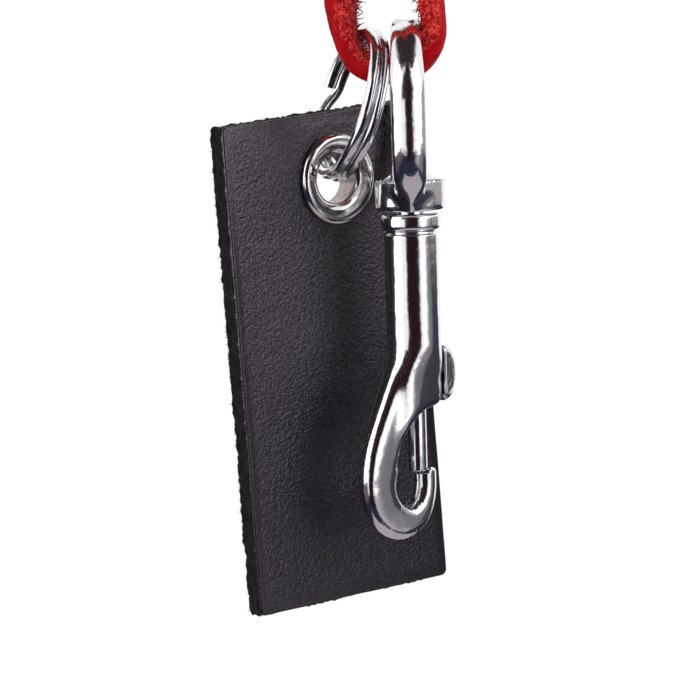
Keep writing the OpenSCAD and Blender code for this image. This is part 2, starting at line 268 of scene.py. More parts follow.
class Shader(Nodes):
    """The nodes of one material."""

    def __init__(self, name: str) -> None:
        """Makes an empty material of that name."""
        self.material = bpy.data.materials.new(name)
        self.material.use_nodes = True
        super().__init__(self.material.node_tree)
        self.place = self.node("ShaderNodeTexCoord", out="Object")

    def grain(self, size: float, detail: float = 2.0, roughness: float = 0.5, stretch: float = 0.0) -> Sock:
        """Adds noise with lumps of one size.

        Args:
            size: Width of a lump, in millimetres.
            detail: Finer layers on top of the lumps.
            roughness: Weight of the finer layers.
            stretch: How far the noise is pulled about.

        Returns:
            The noise, about 0.5 on average.
        """
        sockets = {
            "Vector": self.place,
            "Scale": 1 / (size * MM),
            "Detail": detail,
            "Roughness": roughness,
            "Distortion": stretch,
        }
        return self.node("ShaderNodeTexNoise", None, sockets)

    def cells(self, size: float) -> Sock:
        """Adds rounded cells of one size, in millimetres, as the distance from their middles."""
        sockets = {"Vector": self.place, "Scale": 1 / (size * MM)}
        return self.node("ShaderNodeTexVoronoi", {"feature": "SMOOTH_F1"}, sockets)

    def attribute(self, name: str) -> Sock:
        """Reads a number that the mesh holds."""
        return self.node("ShaderNodeAttribute", {"attribute_name": name}, None, "Fac")

    def mix(self, share: Sock, first: Sock | Colour, second: Sock | Colour) -> Sock:
        """Mixes two colours.

        Args:
            share: Share of the second colour.
            first: Colour at share 0.
            second: Colour at share 1.

        Returns:
            The mixed colour.
        """
        ends = [c if isinstance(c, Sock) else (*c, 1.0) for c in (first, second)]
        sockets = {"Factor_Float": share, "A_Color": ends[0], "B_Color": ends[1]}
        return self.node("ShaderNodeMix", {"data_type": "RGBA"}, sockets, "Result_Color")

    def bump(self, height: Sock, depth: float, strength: float = 1.0, under: Sock | None = None) -> Sock:
        """Turns a height into a normal.

        Args:
            height: Height, from 0 to about 1.
            depth: What a height of 1 stands for, in millimetres.
            strength: Share of the relief that shows.
            under: Normal of the relief below it.

        Returns:
            The normal.
        """
        sockets = {"Height": height, "Distance": depth * MM, "Strength": strength}
        if under is not None:
            sockets["Normal"] = under
        return self.node("ShaderNodeBump", None, sockets)

    def surface(self, **sockets: "Sock | float | tuple") -> Material:
        """Closes the material with one Principled shader.

        Args:
            sockets: Values or links, with _ for a space in a socket's name.

        Returns:
            The material.
        """
        inputs = {name.replace("_", " "): value for name, value in sockets.items()}
        shader = self.node("ShaderNodeBsdfPrincipled", None, inputs)
        self.node("ShaderNodeOutputMaterial", None, {"Surface": shader})
        return self.material


class Recipe(Nodes):
    """A Geometry Nodes tree with named sizes, run once on an object."""

    def __init__(self, name: str) -> None:
        """Makes a tree with one geometry in and one out."""
        super().__init__(bpy.data.node_groups.new(name, "GeometryNodeTree"))
        for way in ("INPUT", "OUTPUT"):
            self.tree.interface.new_socket("Geometry", in_out=way, socket_type="NodeSocketGeometry")
        self.inputs = self.tree.nodes.new("NodeGroupInput")
        self.values: dict[str, float | int] = {}

    def geometry(self) -> Sock:
        """Gives the geometry that the tree is run on."""
        return Sock(self, self.inputs.outputs["Geometry"])

    def size(self, name: str, value: float | int) -> Sock:
        """Adds a named input.

        Args:
            name: Name of the size.
            value: Its value, a whole number for a count or a seed.

        Returns:
            The input's socket in the tree.
        """
        kind = "NodeSocketInt" if isinstance(value, int) else "NodeSocketFloat"
        item = self.tree.interface.new_socket(name, in_out="INPUT", socket_type=kind)
        self.values[item.identifier] = value
        return Sock(self, self._find(self.inputs.outputs, item.identifier))

    def vector(self, x: "Sock | float", y: "Sock | float", z: "Sock | float") -> Sock:
        """Joins three numbers into a vector."""
        return self.node("ShaderNodeCombineXYZ", None, {"X": x, "Y": y, "Z": z})

    def random(self, low: float, high: float, seed: Sock) -> Sock:
        """Draws a number for each point."""
        sockets = {"Min_001": low, "Max_001": high, "Seed": seed}
        return self.node("FunctionNodeRandomValue", {"data_type": "FLOAT"}, sockets, "Value_001")

    def along(self) -> Sock:
        """Gives how far along its curve each point lies, from 0 to 1."""
        return self.node("GeometryNodeSplineParameter", None, None, "Factor")

    def circle(self, points: int, radius: Sock) -> Sock:
        """Adds a circle as the profile of a wire."""
        sockets = {"Resolution": points, "Radius": radius}
        return self.node("GeometryNodeCurvePrimitiveCircle", {"mode": "RADIUS"}, sockets)

    def coil(self, points: "Sock | int", turns: Sock, radius: Sock, height: "Sock | float") -> Sock:
        """Adds a coil of one radius.

        Args:
            points: Points in a turn.
            turns: Number of turns.
            radius: Radius of the coil.
            height: Height from its first to its last point.

        Returns:
            The curve.
        """
        ends = {"Start Radius": radius, "End Radius": radius, "Height": height}
        sockets = {"Resolution": points, "Rotations": turns, **ends, "Reverse": True}
        return self.node("GeometryNodeCurveSpiral", None, sockets)

    def tube(self, curve: Sock, profile: Sock, scale: "Sock | float" = 1.0) -> Sock:
        """Sweeps a profile along a curve, with its ends closed."""
        sockets = {"Curve": curve, "Profile Curve": profile, "Scale": scale, "Fill Caps": True}
        return self.node("GeometryNodeCurveToMesh", None, sockets)

    def run(
        self,
        name: str,
        result: Sock,
        material: Material,
        base: Piece | None = None,
    ) -> Piece:
        """Closes the tree, runs it and keeps the result as a plain mesh.

        Args:
            name: Name of the new piece.
            result: Geometry to keep.
            material: Material of the result.
            base: Object that the tree is run on, or None where it needs none.

        Returns:
            The new piece.
        """
        smooth = self.node("GeometryNodeSetShadeSmooth", None, {"Geometry": result})
        real = self.node("GeometryNodeRealizeInstances", None, {"Geometry": smooth})
        dressed = self.node("GeometryNodeSetMaterial", None, {"Geometry": real, "Material": material})
        self.node("NodeGroupOutput", None, {"Geometry": dressed})
        mesh = base.data.copy() if base else bpy.data.meshes.new(name)
        carrier = add_object(name + "_source", mesh)
        modifier = carrier.modifiers.new("recipe", "NODES")
        modifier.node_group = self.tree
        for identifier, value in self.values.items():
            modifier[identifier] = value
        made = plain_copy(carrier, name)
        if not made.data.materials:
            made.data.materials.append(material)
        return made


def plain_copy(source: Piece, name: str) -> Piece:
    """Turns an object with modifiers into a new object with a plain mesh, and removes the source.

    Args:
        source: Object with live modifiers.
        name: Name of the new object.

    Returns:
        The new object.
    """
    graph = bpy.context.evaluated_depsgraph_get()
    graph.update()
    mesh = bpy.data.meshes.new_from_object(source.evaluated_get(graph), depsgraph=graph)
    old = source.data
    bpy.data.objects.remove(source)
    bpy.data.meshes.remove(old)
    mesh.name = name
    return add_object(name, mesh)


# Finishes


@dataclass(frozen=True)
class BrightPlate:
    """Polished plating over a casting or a wire: chrome, nickel or bare spring steel."""

    name: str
    colour: Colour
    roughness: float = 0.1
    haze: float = 0.07
    waviness: float = 0.045
    pits: float = 0.011
    wave_size: float = 1.5
    pit_size: float = 0.22
    cloud_size: float = 1.4
    worn: float = 0.86

    def material(self) -> Material:
        """Builds the plated metal, with soft waves and fine pits in its polish."""
        shader = Shader(self.name)
        waves = shader.grain(self.wave_size, 2.0, 0.45)
        specks = shader.grain(self.pit_size, 3.0, 0.6)
        cloudy = shader.steps(shader.grain(self.cloud_size, 4.0, 0.62), 0.5, 0.75)
        wavy = shader.bump(waves, self.waviness)
        normal = shader.bump(shader.steps(specks, 0.62, 0.8), self.pits, 0.6, wavy)
        worn = tuple(self.worn * part for part in self.colour)
        return shader.surface(
            Base_Color=shader.mix(cloudy, self.colour, worn),
            Metallic=1.0,
            Roughness=self.roughness + self.haze * cloudy,
            Normal=normal,
        )


@dataclass(frozen=True)
class GrainLeather:
    """Smooth side of black leather: fine pebbles under a soft gloss."""

    name: str = "black_grain_leather"
    colour: Colour = (0.0046, 0.0042, 0.005)
    # lit: painted sheen, a lighter copy of the leather's colour for the raised grain
    lit: Colour = (0.0095, 0.0086, 0.01)
    roughness: float = 0.22
    pebble: float = 0.54
    grain: float = 0.36
    relief: float = 0.1
    wave: float = 9.0
    press: float = 0.10
    gloss: float = 0.92
    tint: tuple[float, float, float, float] = (0.97, 0.87, 1.0, 1.0)

    def material(self) -> Material:
        """Builds the pebbled leather, with painted sheen on its raised grain."""
        shader = Shader(self.name)
        rim = shader.attribute("rim")
        pebbles = shader.steps(shader.cells(self.pebble), 0.15, 0.75)
        fine = shader.grain(self.grain, 2.0, 0.55, 0.9)
        wide = shader.grain(self.wave, 3.0, 0.5)
        relief = (1.0 - 0.75 * rim) * (1.1 * fine - 0.5 * pebbles)
        pressed = shader.bump(wide, self.press, 0.6)
        normal = shader.bump(relief, self.relief, 1.0, pressed)
        # Painted sheen: the lit colour is mixed in where the fine grain stands highest in the relief.
        painted_sheen = shader.steps(fine, 0.5, 0.78)
        return shader.surface(
            Base_Color=shader.mix(painted_sheen, self.colour, self.lit),
            Roughness=self.roughness + 0.16 * (wide - 0.5) + 0.1 * (fine - 0.5),
            Specular_IOR_Level=self.gloss,
            Specular_Tint=self.tint,
            Normal=normal,
        )


@dataclass(frozen=True)
class RawLeather:
    """Cut edge or flesh side of leather: matt, fibrous and flecked."""

    name: str
    dark: Colour
    pale: Colour
    fleck: Colour
    nap: float = 0.35
    relief: float = 0.16
    gloss: float = 0.18
    sheen: float = 0.25
    rubbed: float = 0.0
    patch: float = 2.4
    fleck_size: float = 0.9

    def material(self) -> Material:
        """Builds the napped leather."""
        shader = Shader(self.name)
        nap = shader.grain(self.nap, 4.0, 0.65, 1.2)
        patches = shader.grain(self.patch, 3.0, 0.55)
        flecks = shader.steps(shader.grain(self.fleck_size, 2.0, 0.5), 0.69, 0.76)
        tone = shader.mix(shader.steps(0.6 * nap + 0.4 * patches, 0.36, 0.66), self.dark, self.pale)
        if self.rubbed:
            tone = shader.mix(self.rubbed * shader.attribute("rim"), tone, self.dark)
        return shader.surface(
            Base_Color=shader.mix(0.6 * flecks, tone, self.fleck),
            Roughness=0.98 - 0.12 * nap,
            Specular_IOR_Level=self.gloss,
            Sheen_Weight=self.sheen,
            Sheen_Roughness=0.5,
            Normal=shader.bump(nap + 0.6 * patches, self.relief, 0.9),
        )


@dataclass(frozen=True)
class LaceLeather:
    """Red lace: a smooth dyed grain side, and suede on its cut sides and inside."""

    name: str = "red_lace_leather"
    smooth: Colour = (0.36, 0.003, 0.0058)
    # shaded: painted shade, a darker copy of the smooth red laid over crease noise
    shaded: Colour = (0.21, 0.002, 0.004)
    # suede: the suede's own colour, lightened into painted highlight on the raised nap; the pit colour is painted
    # shade in the nap's low spots
    suede: Colour = (0.82, 0.066, 0.058)
    painted_pit_shade: Colour = (0.25, 0.004, 0.0065)
    nap: float = 1.15
    nap_relief: float = 0.26
    patch: float = 3.2
    fibre: float = 0.22
    crease: float = 1.8
    crease_relief: float = 0.05
    gloss: float = 0.03

    def material(self) -> Material:
        """Builds the lace from the share of suede that its mesh holds."""
        shader = Shader(self.name)
        nap = shader.grain(self.nap, 3.0, 0.6, 2.2)
        patches = shader.grain(self.patch, 2.0, 0.5)
        uneven = 1.3 * (nap - 0.5) + 1.4 * (patches - 0.5)
        share = shader.steps(shader.attribute("suede") + uneven, 0.2, 0.8)
        fibres = shader.grain(self.fibre, 3.0, 0.6, 0.8)
        creases = shader.grain(self.crease, 3.0, 0.5)
        # The smooth side mixes its dyed red with painted shade, a darker copy laid over crease noise.
        dye_with_painted_shade = shader.mix(shader.steps(creases, 0.42, 0.72), self.smooth, self.shaded)
        # The suede mixes painted highlight where the nap stands high with painted shade where it sinks.
        nap_with_painted_light = shader.mix(shader.steps(0.78 * nap + 0.22 * fibres, 0.42, 0.65), self.painted_pit_shade, self.suede)
        shiny = shader.bump(0.7 * creases + 0.3 * fibres, self.crease_relief, 0.5)
        normal = shader.bump(share * (nap + 0.35 * fibres), self.nap_relief, 0.9, shiny)
        return shader.surface(
            Base_Color=shader.mix(share, dye_with_painted_shade, nap_with_painted_light),
            Roughness=0.5 + 0.45 * share + 0.08 * (creases - 0.5),
            Specular_IOR_Level=self.gloss,
            Normal=normal,
        )


CHROME = BrightPlate("polished_chrome", (0.86, 0.865, 0.885))
NICKEL = BrightPlate("polished_nickel", (0.80, 0.785, 0.775), haze=0.08, waviness=0.012)
# Bore nickel: a rougher, unpolished finish, with painted shade darkening its colour inside the eyelet's bore.
DULL_SHADED_NICKEL = BrightPlate("dull_shaded_nickel", (0.43, 0.38, 0.36), roughness=0.32, haze=0.12, waviness=0.012)
SPRING_WIRE = BrightPlate("spring_wire", (0.56, 0.56, 0.58), roughness=0.24, haze=0.12)
FRONT_LEATHER = GrainLeather()
EDGE_LEATHER = RawLeather(
    "raw_edge", (0.0035, 0.0032, 0.0037), (0.014, 0.0125, 0.0138), (0.06, 0.016, 0.014), gloss=0.08, sheen=0.05
)
BACK_LEATHER = RawLeather(
    "suede_back", (0.014, 0.0135, 0.0145), (0.042, 0.040, 0.043), (0.030, 0.026, 0.028), nap=0.5, rubbed=0.7
)
BLACK_FIBRE = RawLeather(
    "black_fibre", (0.006, 0.0055, 0.006), (0.020, 0.0175, 0.019), (0.085, 0.022, 0.020), gloss=0.08, sheen=0.08
)
RED_FIBRE = RawLeather("red_fibre", (0.26, 0.010, 0.012), (0.52, 0.050, 0.045), (0.60, 0.10, 0.085))
LACE_LEATHER = LaceLeather()


# Mesh making


def ease(value: np.ndarray | float, start: float = 0.0, span: float = 1.0) -> np.ndarray:
    """Eases from 0 at the start to 1 a span further on, and stays level past both."""
    t = np.clip((value - start) / span, 0.0, 1.0)
    return t * t * (3 - 2 * t)


def evenly(line: np.ndarray, count: int) -> np.ndarray:
    """Spaces points evenly along a line.

    Args:
        line: Points of the line.
        count: How many points to give.

    Returns:
        The new points.
    """
    steps = np.linalg.norm(np.diff(line, axis=0), axis=1)
    along = np.concatenate([[0.0], np.cumsum(steps)])
    at = np.linspace(0.0, along[-1], count)
    return np.stack([np.interp(at, along, line[:, k]) for k in range(line.shape[1])], axis=1)


def smooth_line(points: np.ndarray, count: int, finer: int = 12) -> np.ndarray:
    """Runs a natural cubic spline through points.

    Args:
        points: Points to pass through.
        count: How many points to give.
        finer: Points of the spline for each of them.

    Returns:
        Points spaced evenly along the spline.
    """
    lengths = np.linalg.norm(np.diff(points, axis=0), axis=1)
    knots = np.concatenate([[0.0], np.cumsum(lengths)])
    size = len(knots)
    matrix, right = np.eye(size), np.zeros(points.shape)
    slopes = np.diff(points, axis=0) / lengths[:, None]
    for i in range(1, size - 1):
        matrix[i, i - 1 : i + 2] = lengths[i - 1], 2 * (lengths[i - 1] + lengths[i]), lengths[i]
        right[i] = 6 * (slopes[i] - slopes[i - 1])
    bends = np.linalg.solve(matrix, right)
    at = np.linspace(0.0, knots[-1], finer * count)
    k = np.clip(np.searchsorted(knots, at, side="right") - 1, 0, size - 2)
    span = lengths[k][:, None]
    before, after = (at - knots[k])[:, None], (knots[k + 1] - at)[:, None]
    curve = (bends[k] * after**3 + bends[k + 1] * before**3) / (6 * span)
    curve += (points[k] / span - bends[k] * span / 6) * after
    curve += (points[k + 1] / span - bends[k + 1] * span / 6) * before
    return evenly(curve, count)


def arc(centre: Sequence[float], radius: float, start: float, end: float, count: int) -> list[Pair]:
    """Gives points on a flat arc.

    Args:
        centre: Centre of the arc.
        radius: Its radius.
        start: First angle, in degrees.
        end: Last angle, in degrees.
        count: How many points.

    Returns:
        The points.
    """
    angles = np.radians(np.linspace(start, end, count))
    return [(centre[0] + radius * math.cos(a), centre[1] + radius * math.sin(a)) for a in angles]


def lumps(points: np.ndarray, size: float, layers: int = 3, fall: float = 0.7, finer: float = 2.1) -> np.ndarray:
    """Gives smooth noise about zero at each point.

    Args:
        points: Places, in millimetres.
        size: Width of a lump, in millimetres.
        layers: Number of layers.
        fall: How fast the layers grow weaker.
        finer: How much finer each layer is than the last.

    Returns:
        One number for each point.
    """
    return np.array([noise.fractal(Vector(p) / size, fall, finer, layers) for p in points.reshape(-1, 3)])


def loft_faces(rings: int, sides: int, closed: bool, capped: bool) -> list[tuple[int, ...]]:
    """Joins equal rings of points into faces.

    Args:
        rings: Number of rings.
        sides: Points in a ring.
        closed: Whether the last ring joins the first.
        capped: Whether the two ends get a face.

    Returns:
        The faces.
    """
    index = np.arange(rings * sides).reshape(rings, sides)
    if closed:
        index = np.vstack([index, index[:1]])
    near, far = index[:-1], index[1:]
    quads = np.stack([near, np.roll(near, -1, 1), np.roll(far, -1, 1), far], axis=-1)
    faces = [tuple(q) for q in quads.reshape(-1, 4).tolist()]
    if capped:
        faces += [tuple(index[0].tolist()), tuple(index[-1].tolist())]
    return faces


@contextmanager
def editing(mesh: bpy.types.Mesh) -> Iterator[bmesh.types.BMesh]:
    """Opens a mesh for editing, and writes it back at the end."""
    work = bmesh.new()
    work.from_mesh(mesh)
    yield work
    work.to_mesh(mesh)
    work.free()


def make_piece(
    name: str,
    points: np.ndarray,
    faces: Sequence[Sequence[int]],
    materials: Sequence[Material],
    sharp: float | None = None,
) -> Piece:
    """Makes a smooth-shaded object whose place is in its mesh.

    Args:
        name: Name of the piece.
        points: Its points, in millimetres.
        faces: Its faces.
        materials: Its materials.
        sharp: Angle in degrees past which an edge stays sharp.

    Returns:
        The object.
    """
    mesh = bpy.data.meshes.new(name)
    mesh.from_pydata((points.reshape(-1, 3) * MM).tolist(), [], faces)
    for material in materials:
        mesh.materials.append(material)
    with editing(mesh) as work:
        bmesh.ops.recalc_face_normals(work, faces=work.faces)
    mesh.shade_smooth()
    if sharp is not None:
        mesh.set_sharp_from_angle(angle=math.radians(sharp))
    return add_object(name, mesh)


def set_values(piece: Piece, name: str, values: np.ndarray) -> None:
    """Stores one number for each point of a piece.

    Args:
        piece: The piece.
        name: Name of the attribute.
        values: The numbers.
    """
    attribute = piece.data.attributes.new(name, "FLOAT", "POINT")
    attribute.data.foreach_set("value", np.asarray(values, np.float32).ravel())


def lathe(
    profile: Sequence[Pair],
    origin: np.ndarray,
    axis: Sequence[float],
    steps: int,
) -> tuple[np.ndarray, list]:
    """Turns a closed profile round an axis.

    Args:
        profile: Points as radius and height along the axis.
        origin: Point of the axis at height 0.
        axis: Direction of the axis.
        steps: Points round the axis.

    Returns:
        The points and the faces.
    """
    upright = unit(axis)
    first = unit(np.cross(upright, UP if abs(upright[2]) < 0.9 else (1.0, 0.0, 0.0)))
    second = np.cross(upright, first)
    angles = np.linspace(0.0, 2 * math.pi, steps, endpoint=False)
    round_it = np.outer(np.cos(angles), first) + np.outer(np.sin(angles), second)
    rings = [origin + height * upright + radius * round_it for radius, height in profile]
    return np.array(rings), loft_faces(len(profile), steps, True, False)


def turned(
    name: str,
    profile: Sequence[Pair],
    node: str,
    material: Material,
) -> Piece:
    """Turns a profile that begins and ends on the upright axis of a CAD node.

    Args:
        name: Name of the piece.
        profile: Points as radius and height.
        node: The node.
        material: Material of the piece.

    Returns:
        The piece, with its points on the axis merged.
    """
    piece = make_piece(name, *lathe(profile, centre_of(node) * LEVEL, UP, TURNED_STEPS), [material])
    with editing(piece.data) as work:
        bmesh.ops.remove_doubles(work, verts=work.verts, dist=1e-7)
        bmesh.ops.dissolve_degenerate(work, edges=work.edges, dist=1e-8)
        bmesh.ops.recalc_face_normals(work, faces=work.faces)
    piece.data.shade_smooth()
    piece.data.set_sharp_from_angle(angle=math.radians(SHARP))
    return piece


def dress(piece: Piece, body: Body, slot: Slot, *nodes: str) -> Piece:
    """Seats a finished piece on its body.

    Args:
        piece: The piece.
        body: Body that it rides on.
        slot: Material slot of the piece; not used.
        nodes: CAD nodes that it stands for.

    Returns:
        The piece.
    """
    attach(piece, body.value)
    if nodes:
        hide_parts(*nodes)
    LOG.info("%s: %d faces on %s", piece.name, len(piece.data.polygons), body.value)
    return piece


# Rounded castings


def blend_min(a: np.ndarray, b: np.ndarray, width: np.ndarray | float) -> np.ndarray:
    """Joins two shapes with a fillet of about that width."""
    h = np.clip(0.5 + 0.5 * (b - a) / width, 0.0, 1.0)
    return b + (a - b) * h - width * h * (1 - h)


def blend_max(a: np.ndarray, b: np.ndarray, width: float) -> np.ndarray:
    """Keeps what two shapes share, with a rounded edge of about that width."""
    return -blend_min(-a, -b, width)


def round_rect(x: np.ndarray, y: np.ndarray, half_x: float, half_y: float, radius: float) -> np.ndarray:
    """Gives the distance to a flat rectangle with round corners."""
    dx, dy = np.abs(x) - half_x + radius, np.abs(y) - half_y + radius
    outside = np.hypot(np.maximum(dx, 0.0), np.maximum(dy, 0.0))
    return outside + np.minimum(np.maximum(dx, dy), 0.0) - radius


def drum(p: np.ndarray, radius: float, low: float, high: float, edge: float) -> np.ndarray:
    """Gives the distance to an upright drum with round edges."""
    return round_rect(np.hypot(p[:, 0], p[:, 1]), p[:, 2] - (low + high) / 2, radius, (high - low) / 2, edge)


@dataclass
class Casting:
    """A cast piece: the skin of a CAD node, settled on a shape with rounded corners."""

    name: str
    node: str
    shape: Shape
    voxel: float = 0.2
    rounds: int = 6
    reach: float = 0.25
    tap: float = 0.012
    even: float = 0.5
    last_rounds: int = 2
    least_slope: float = 0.2

    def build(self, material: Material) -> Piece:
        """Makes the piece.

        Args:
            material: Material of the casting.

        Returns:
            The piece, shaded by the true slope of its shape.
        """
        piece = self._skin()
        mesh = piece.data
        points = np.zeros((len(mesh.vertices), 3))
        mesh.vertices.foreach_get("co", points.ravel())
        points /= MM
        edges = np.zeros((len(mesh.edges), 2), int)
        mesh.edges.foreach_get("vertices", edges.ravel())
        for turn in range(self.rounds):
            if turn < self.rounds - self.last_rounds:
                points += self.even * (self._neighbours(points, edges) - points)
            points = self._settle(points)
        mesh.vertices.foreach_set("co", (points * MM).astype(np.float32).ravel())
        mesh.materials.clear()
        mesh.materials.append(material)
        mesh.shade_smooth()
        mesh.normals_split_custom_set_from_vertices(self._slope(points)[0].tolist())
        mesh.update()
        return piece

    def _skin(self) -> Piece:
        """Merges a copy of the node's triangles and meshes it anew in even squares."""
        mesh = frame["nodes"][self.node].data.copy()
        with editing(mesh) as work:
            bmesh.ops.remove_doubles(work, verts=work.verts, dist=1e-6)
        rough = add_object(self.name + "_rough", mesh)
        remesh = rough.modifiers.new("even", "REMESH")
        remesh.mode = "VOXEL"
        remesh.voxel_size = self.voxel * MM
        return plain_copy(rough, self.name)

    @staticmethod
    def _neighbours(points: np.ndarray, edges: np.ndarray) -> np.ndarray:
        """Gives the middle of each point's neighbours."""
        total, count = np.zeros(points.shape), np.zeros(len(points))
        for a, b in ((0, 1), (1, 0)):
            np.add.at(total, edges[:, a], points[edges[:, b]])
            np.add.at(count, edges[:, a], 1.0)
        return total / np.maximum(count, 1.0)[:, None]

    def _slope(self, points: np.ndarray) -> tuple[np.ndarray, np.ndarray]:
        """Gives the outward direction and the steepness of the shape at each point."""
        taps = [
            self.shape(points + self.tap * step) - self.shape(points - self.tap * step)
            for step in np.eye(3)
        ]
        slope = np.stack(taps, axis=1) / (2 * self.tap)
        steep = np.maximum(np.linalg.norm(slope, axis=1), self.least_slope)
        return slope / steep[:, None], steep

    def _settle(self, points: np.ndarray) -> np.ndarray:
        """Moves each point onto the shape."""
        outward, steep = self._slope(points)
        move = np.clip(self.shape(points) / steep, -self.reach, self.reach)
        return points - outward * move[:, None]


# Sub-assemblies


@dataclass
class Fuzz:
    """Short loose fibres that stand out of raw leather, by Geometry Nodes."""

    name: str
    per_mm2: float
    length: float
    thickness: float
    seed: int
    lean: float = 1.1
    root: float = -0.08
    knee: float = 0.55
    tip: Pair = (0.5, 0.9)
    thinning: float = 0.8
    scales: Pair = (0.35, 1.25)

    def grow(self, base: Piece, material: Material) -> Piece:
        """Grows the fibres where the base's "fuzz" attribute says.

        Args:
            base: Piece that the fibres stand on.
            material: Material of the fibres.

        Returns:
            The fibres as one piece.
        """
        tree = Recipe(self.name + "_recipe")
        dense = tree.size("Fibres per square metre", self.per_mm2 / MM**2)
        long = tree.size("Length", self.length * MM)
        thick = tree.size("Thickness", self.thickness * MM)
        seed = tree.size("Seed", self.seed)
        where = tree.node("GeometryNodeInputNamedAttribute", {"data_type": "FLOAT"}, {"Name": "fuzz"})
        scatter = {"Mesh": tree.geometry(), "Density": dense * where, "Seed": seed}
        points = tree.node("GeometryNodeDistributePointsOnFaces", {"distribute_method": "RANDOM"}, scatter)
        stand = Sock(tree, points.socket.node.outputs["Rotation"])
        bend = {
            "Resolution": 4,
            "Start": tree.vector(0.0, 0.0, self.root * long),
            "Middle": tree.vector(0.0, 0.0, self.knee * long),
            "End": tree.vector(self.tip[0] * long, 0.0, self.tip[1] * long),
        }
        curve = tree.node("GeometryNodeCurveQuadraticBezier", None, bend)
        fibre = tree.tube(curve, tree.circle(3, 0.5 * thick), 1.0 - self.thinning * tree.along())
        angles = tree.vector(
            tree.random(-self.lean, self.lean, seed + 1.0),
            tree.random(-self.lean, self.lean, seed + 2.0),
            tree.random(0.0, 2 * math.pi, seed + 3.0),
        )
        turn = tree.node("FunctionNodeEulerToRotation", None, {"Euler": angles})
        sockets = {"Rotation": stand, "Rotate By": turn}
        stand = tree.node("FunctionNodeRotateRotation", {"rotation_space": "LOCAL"}, sockets)
        planted = {
            "Points": points,
            "Instance": fibre,
            "Rotation": stand,
            "Scale": tree.random(*self.scales, seed + 4.0),
        }
        fibres = tree.node("GeometryNodeInstanceOnPoints", None, planted)
        return tree.run(self.name, fibres, material, base)


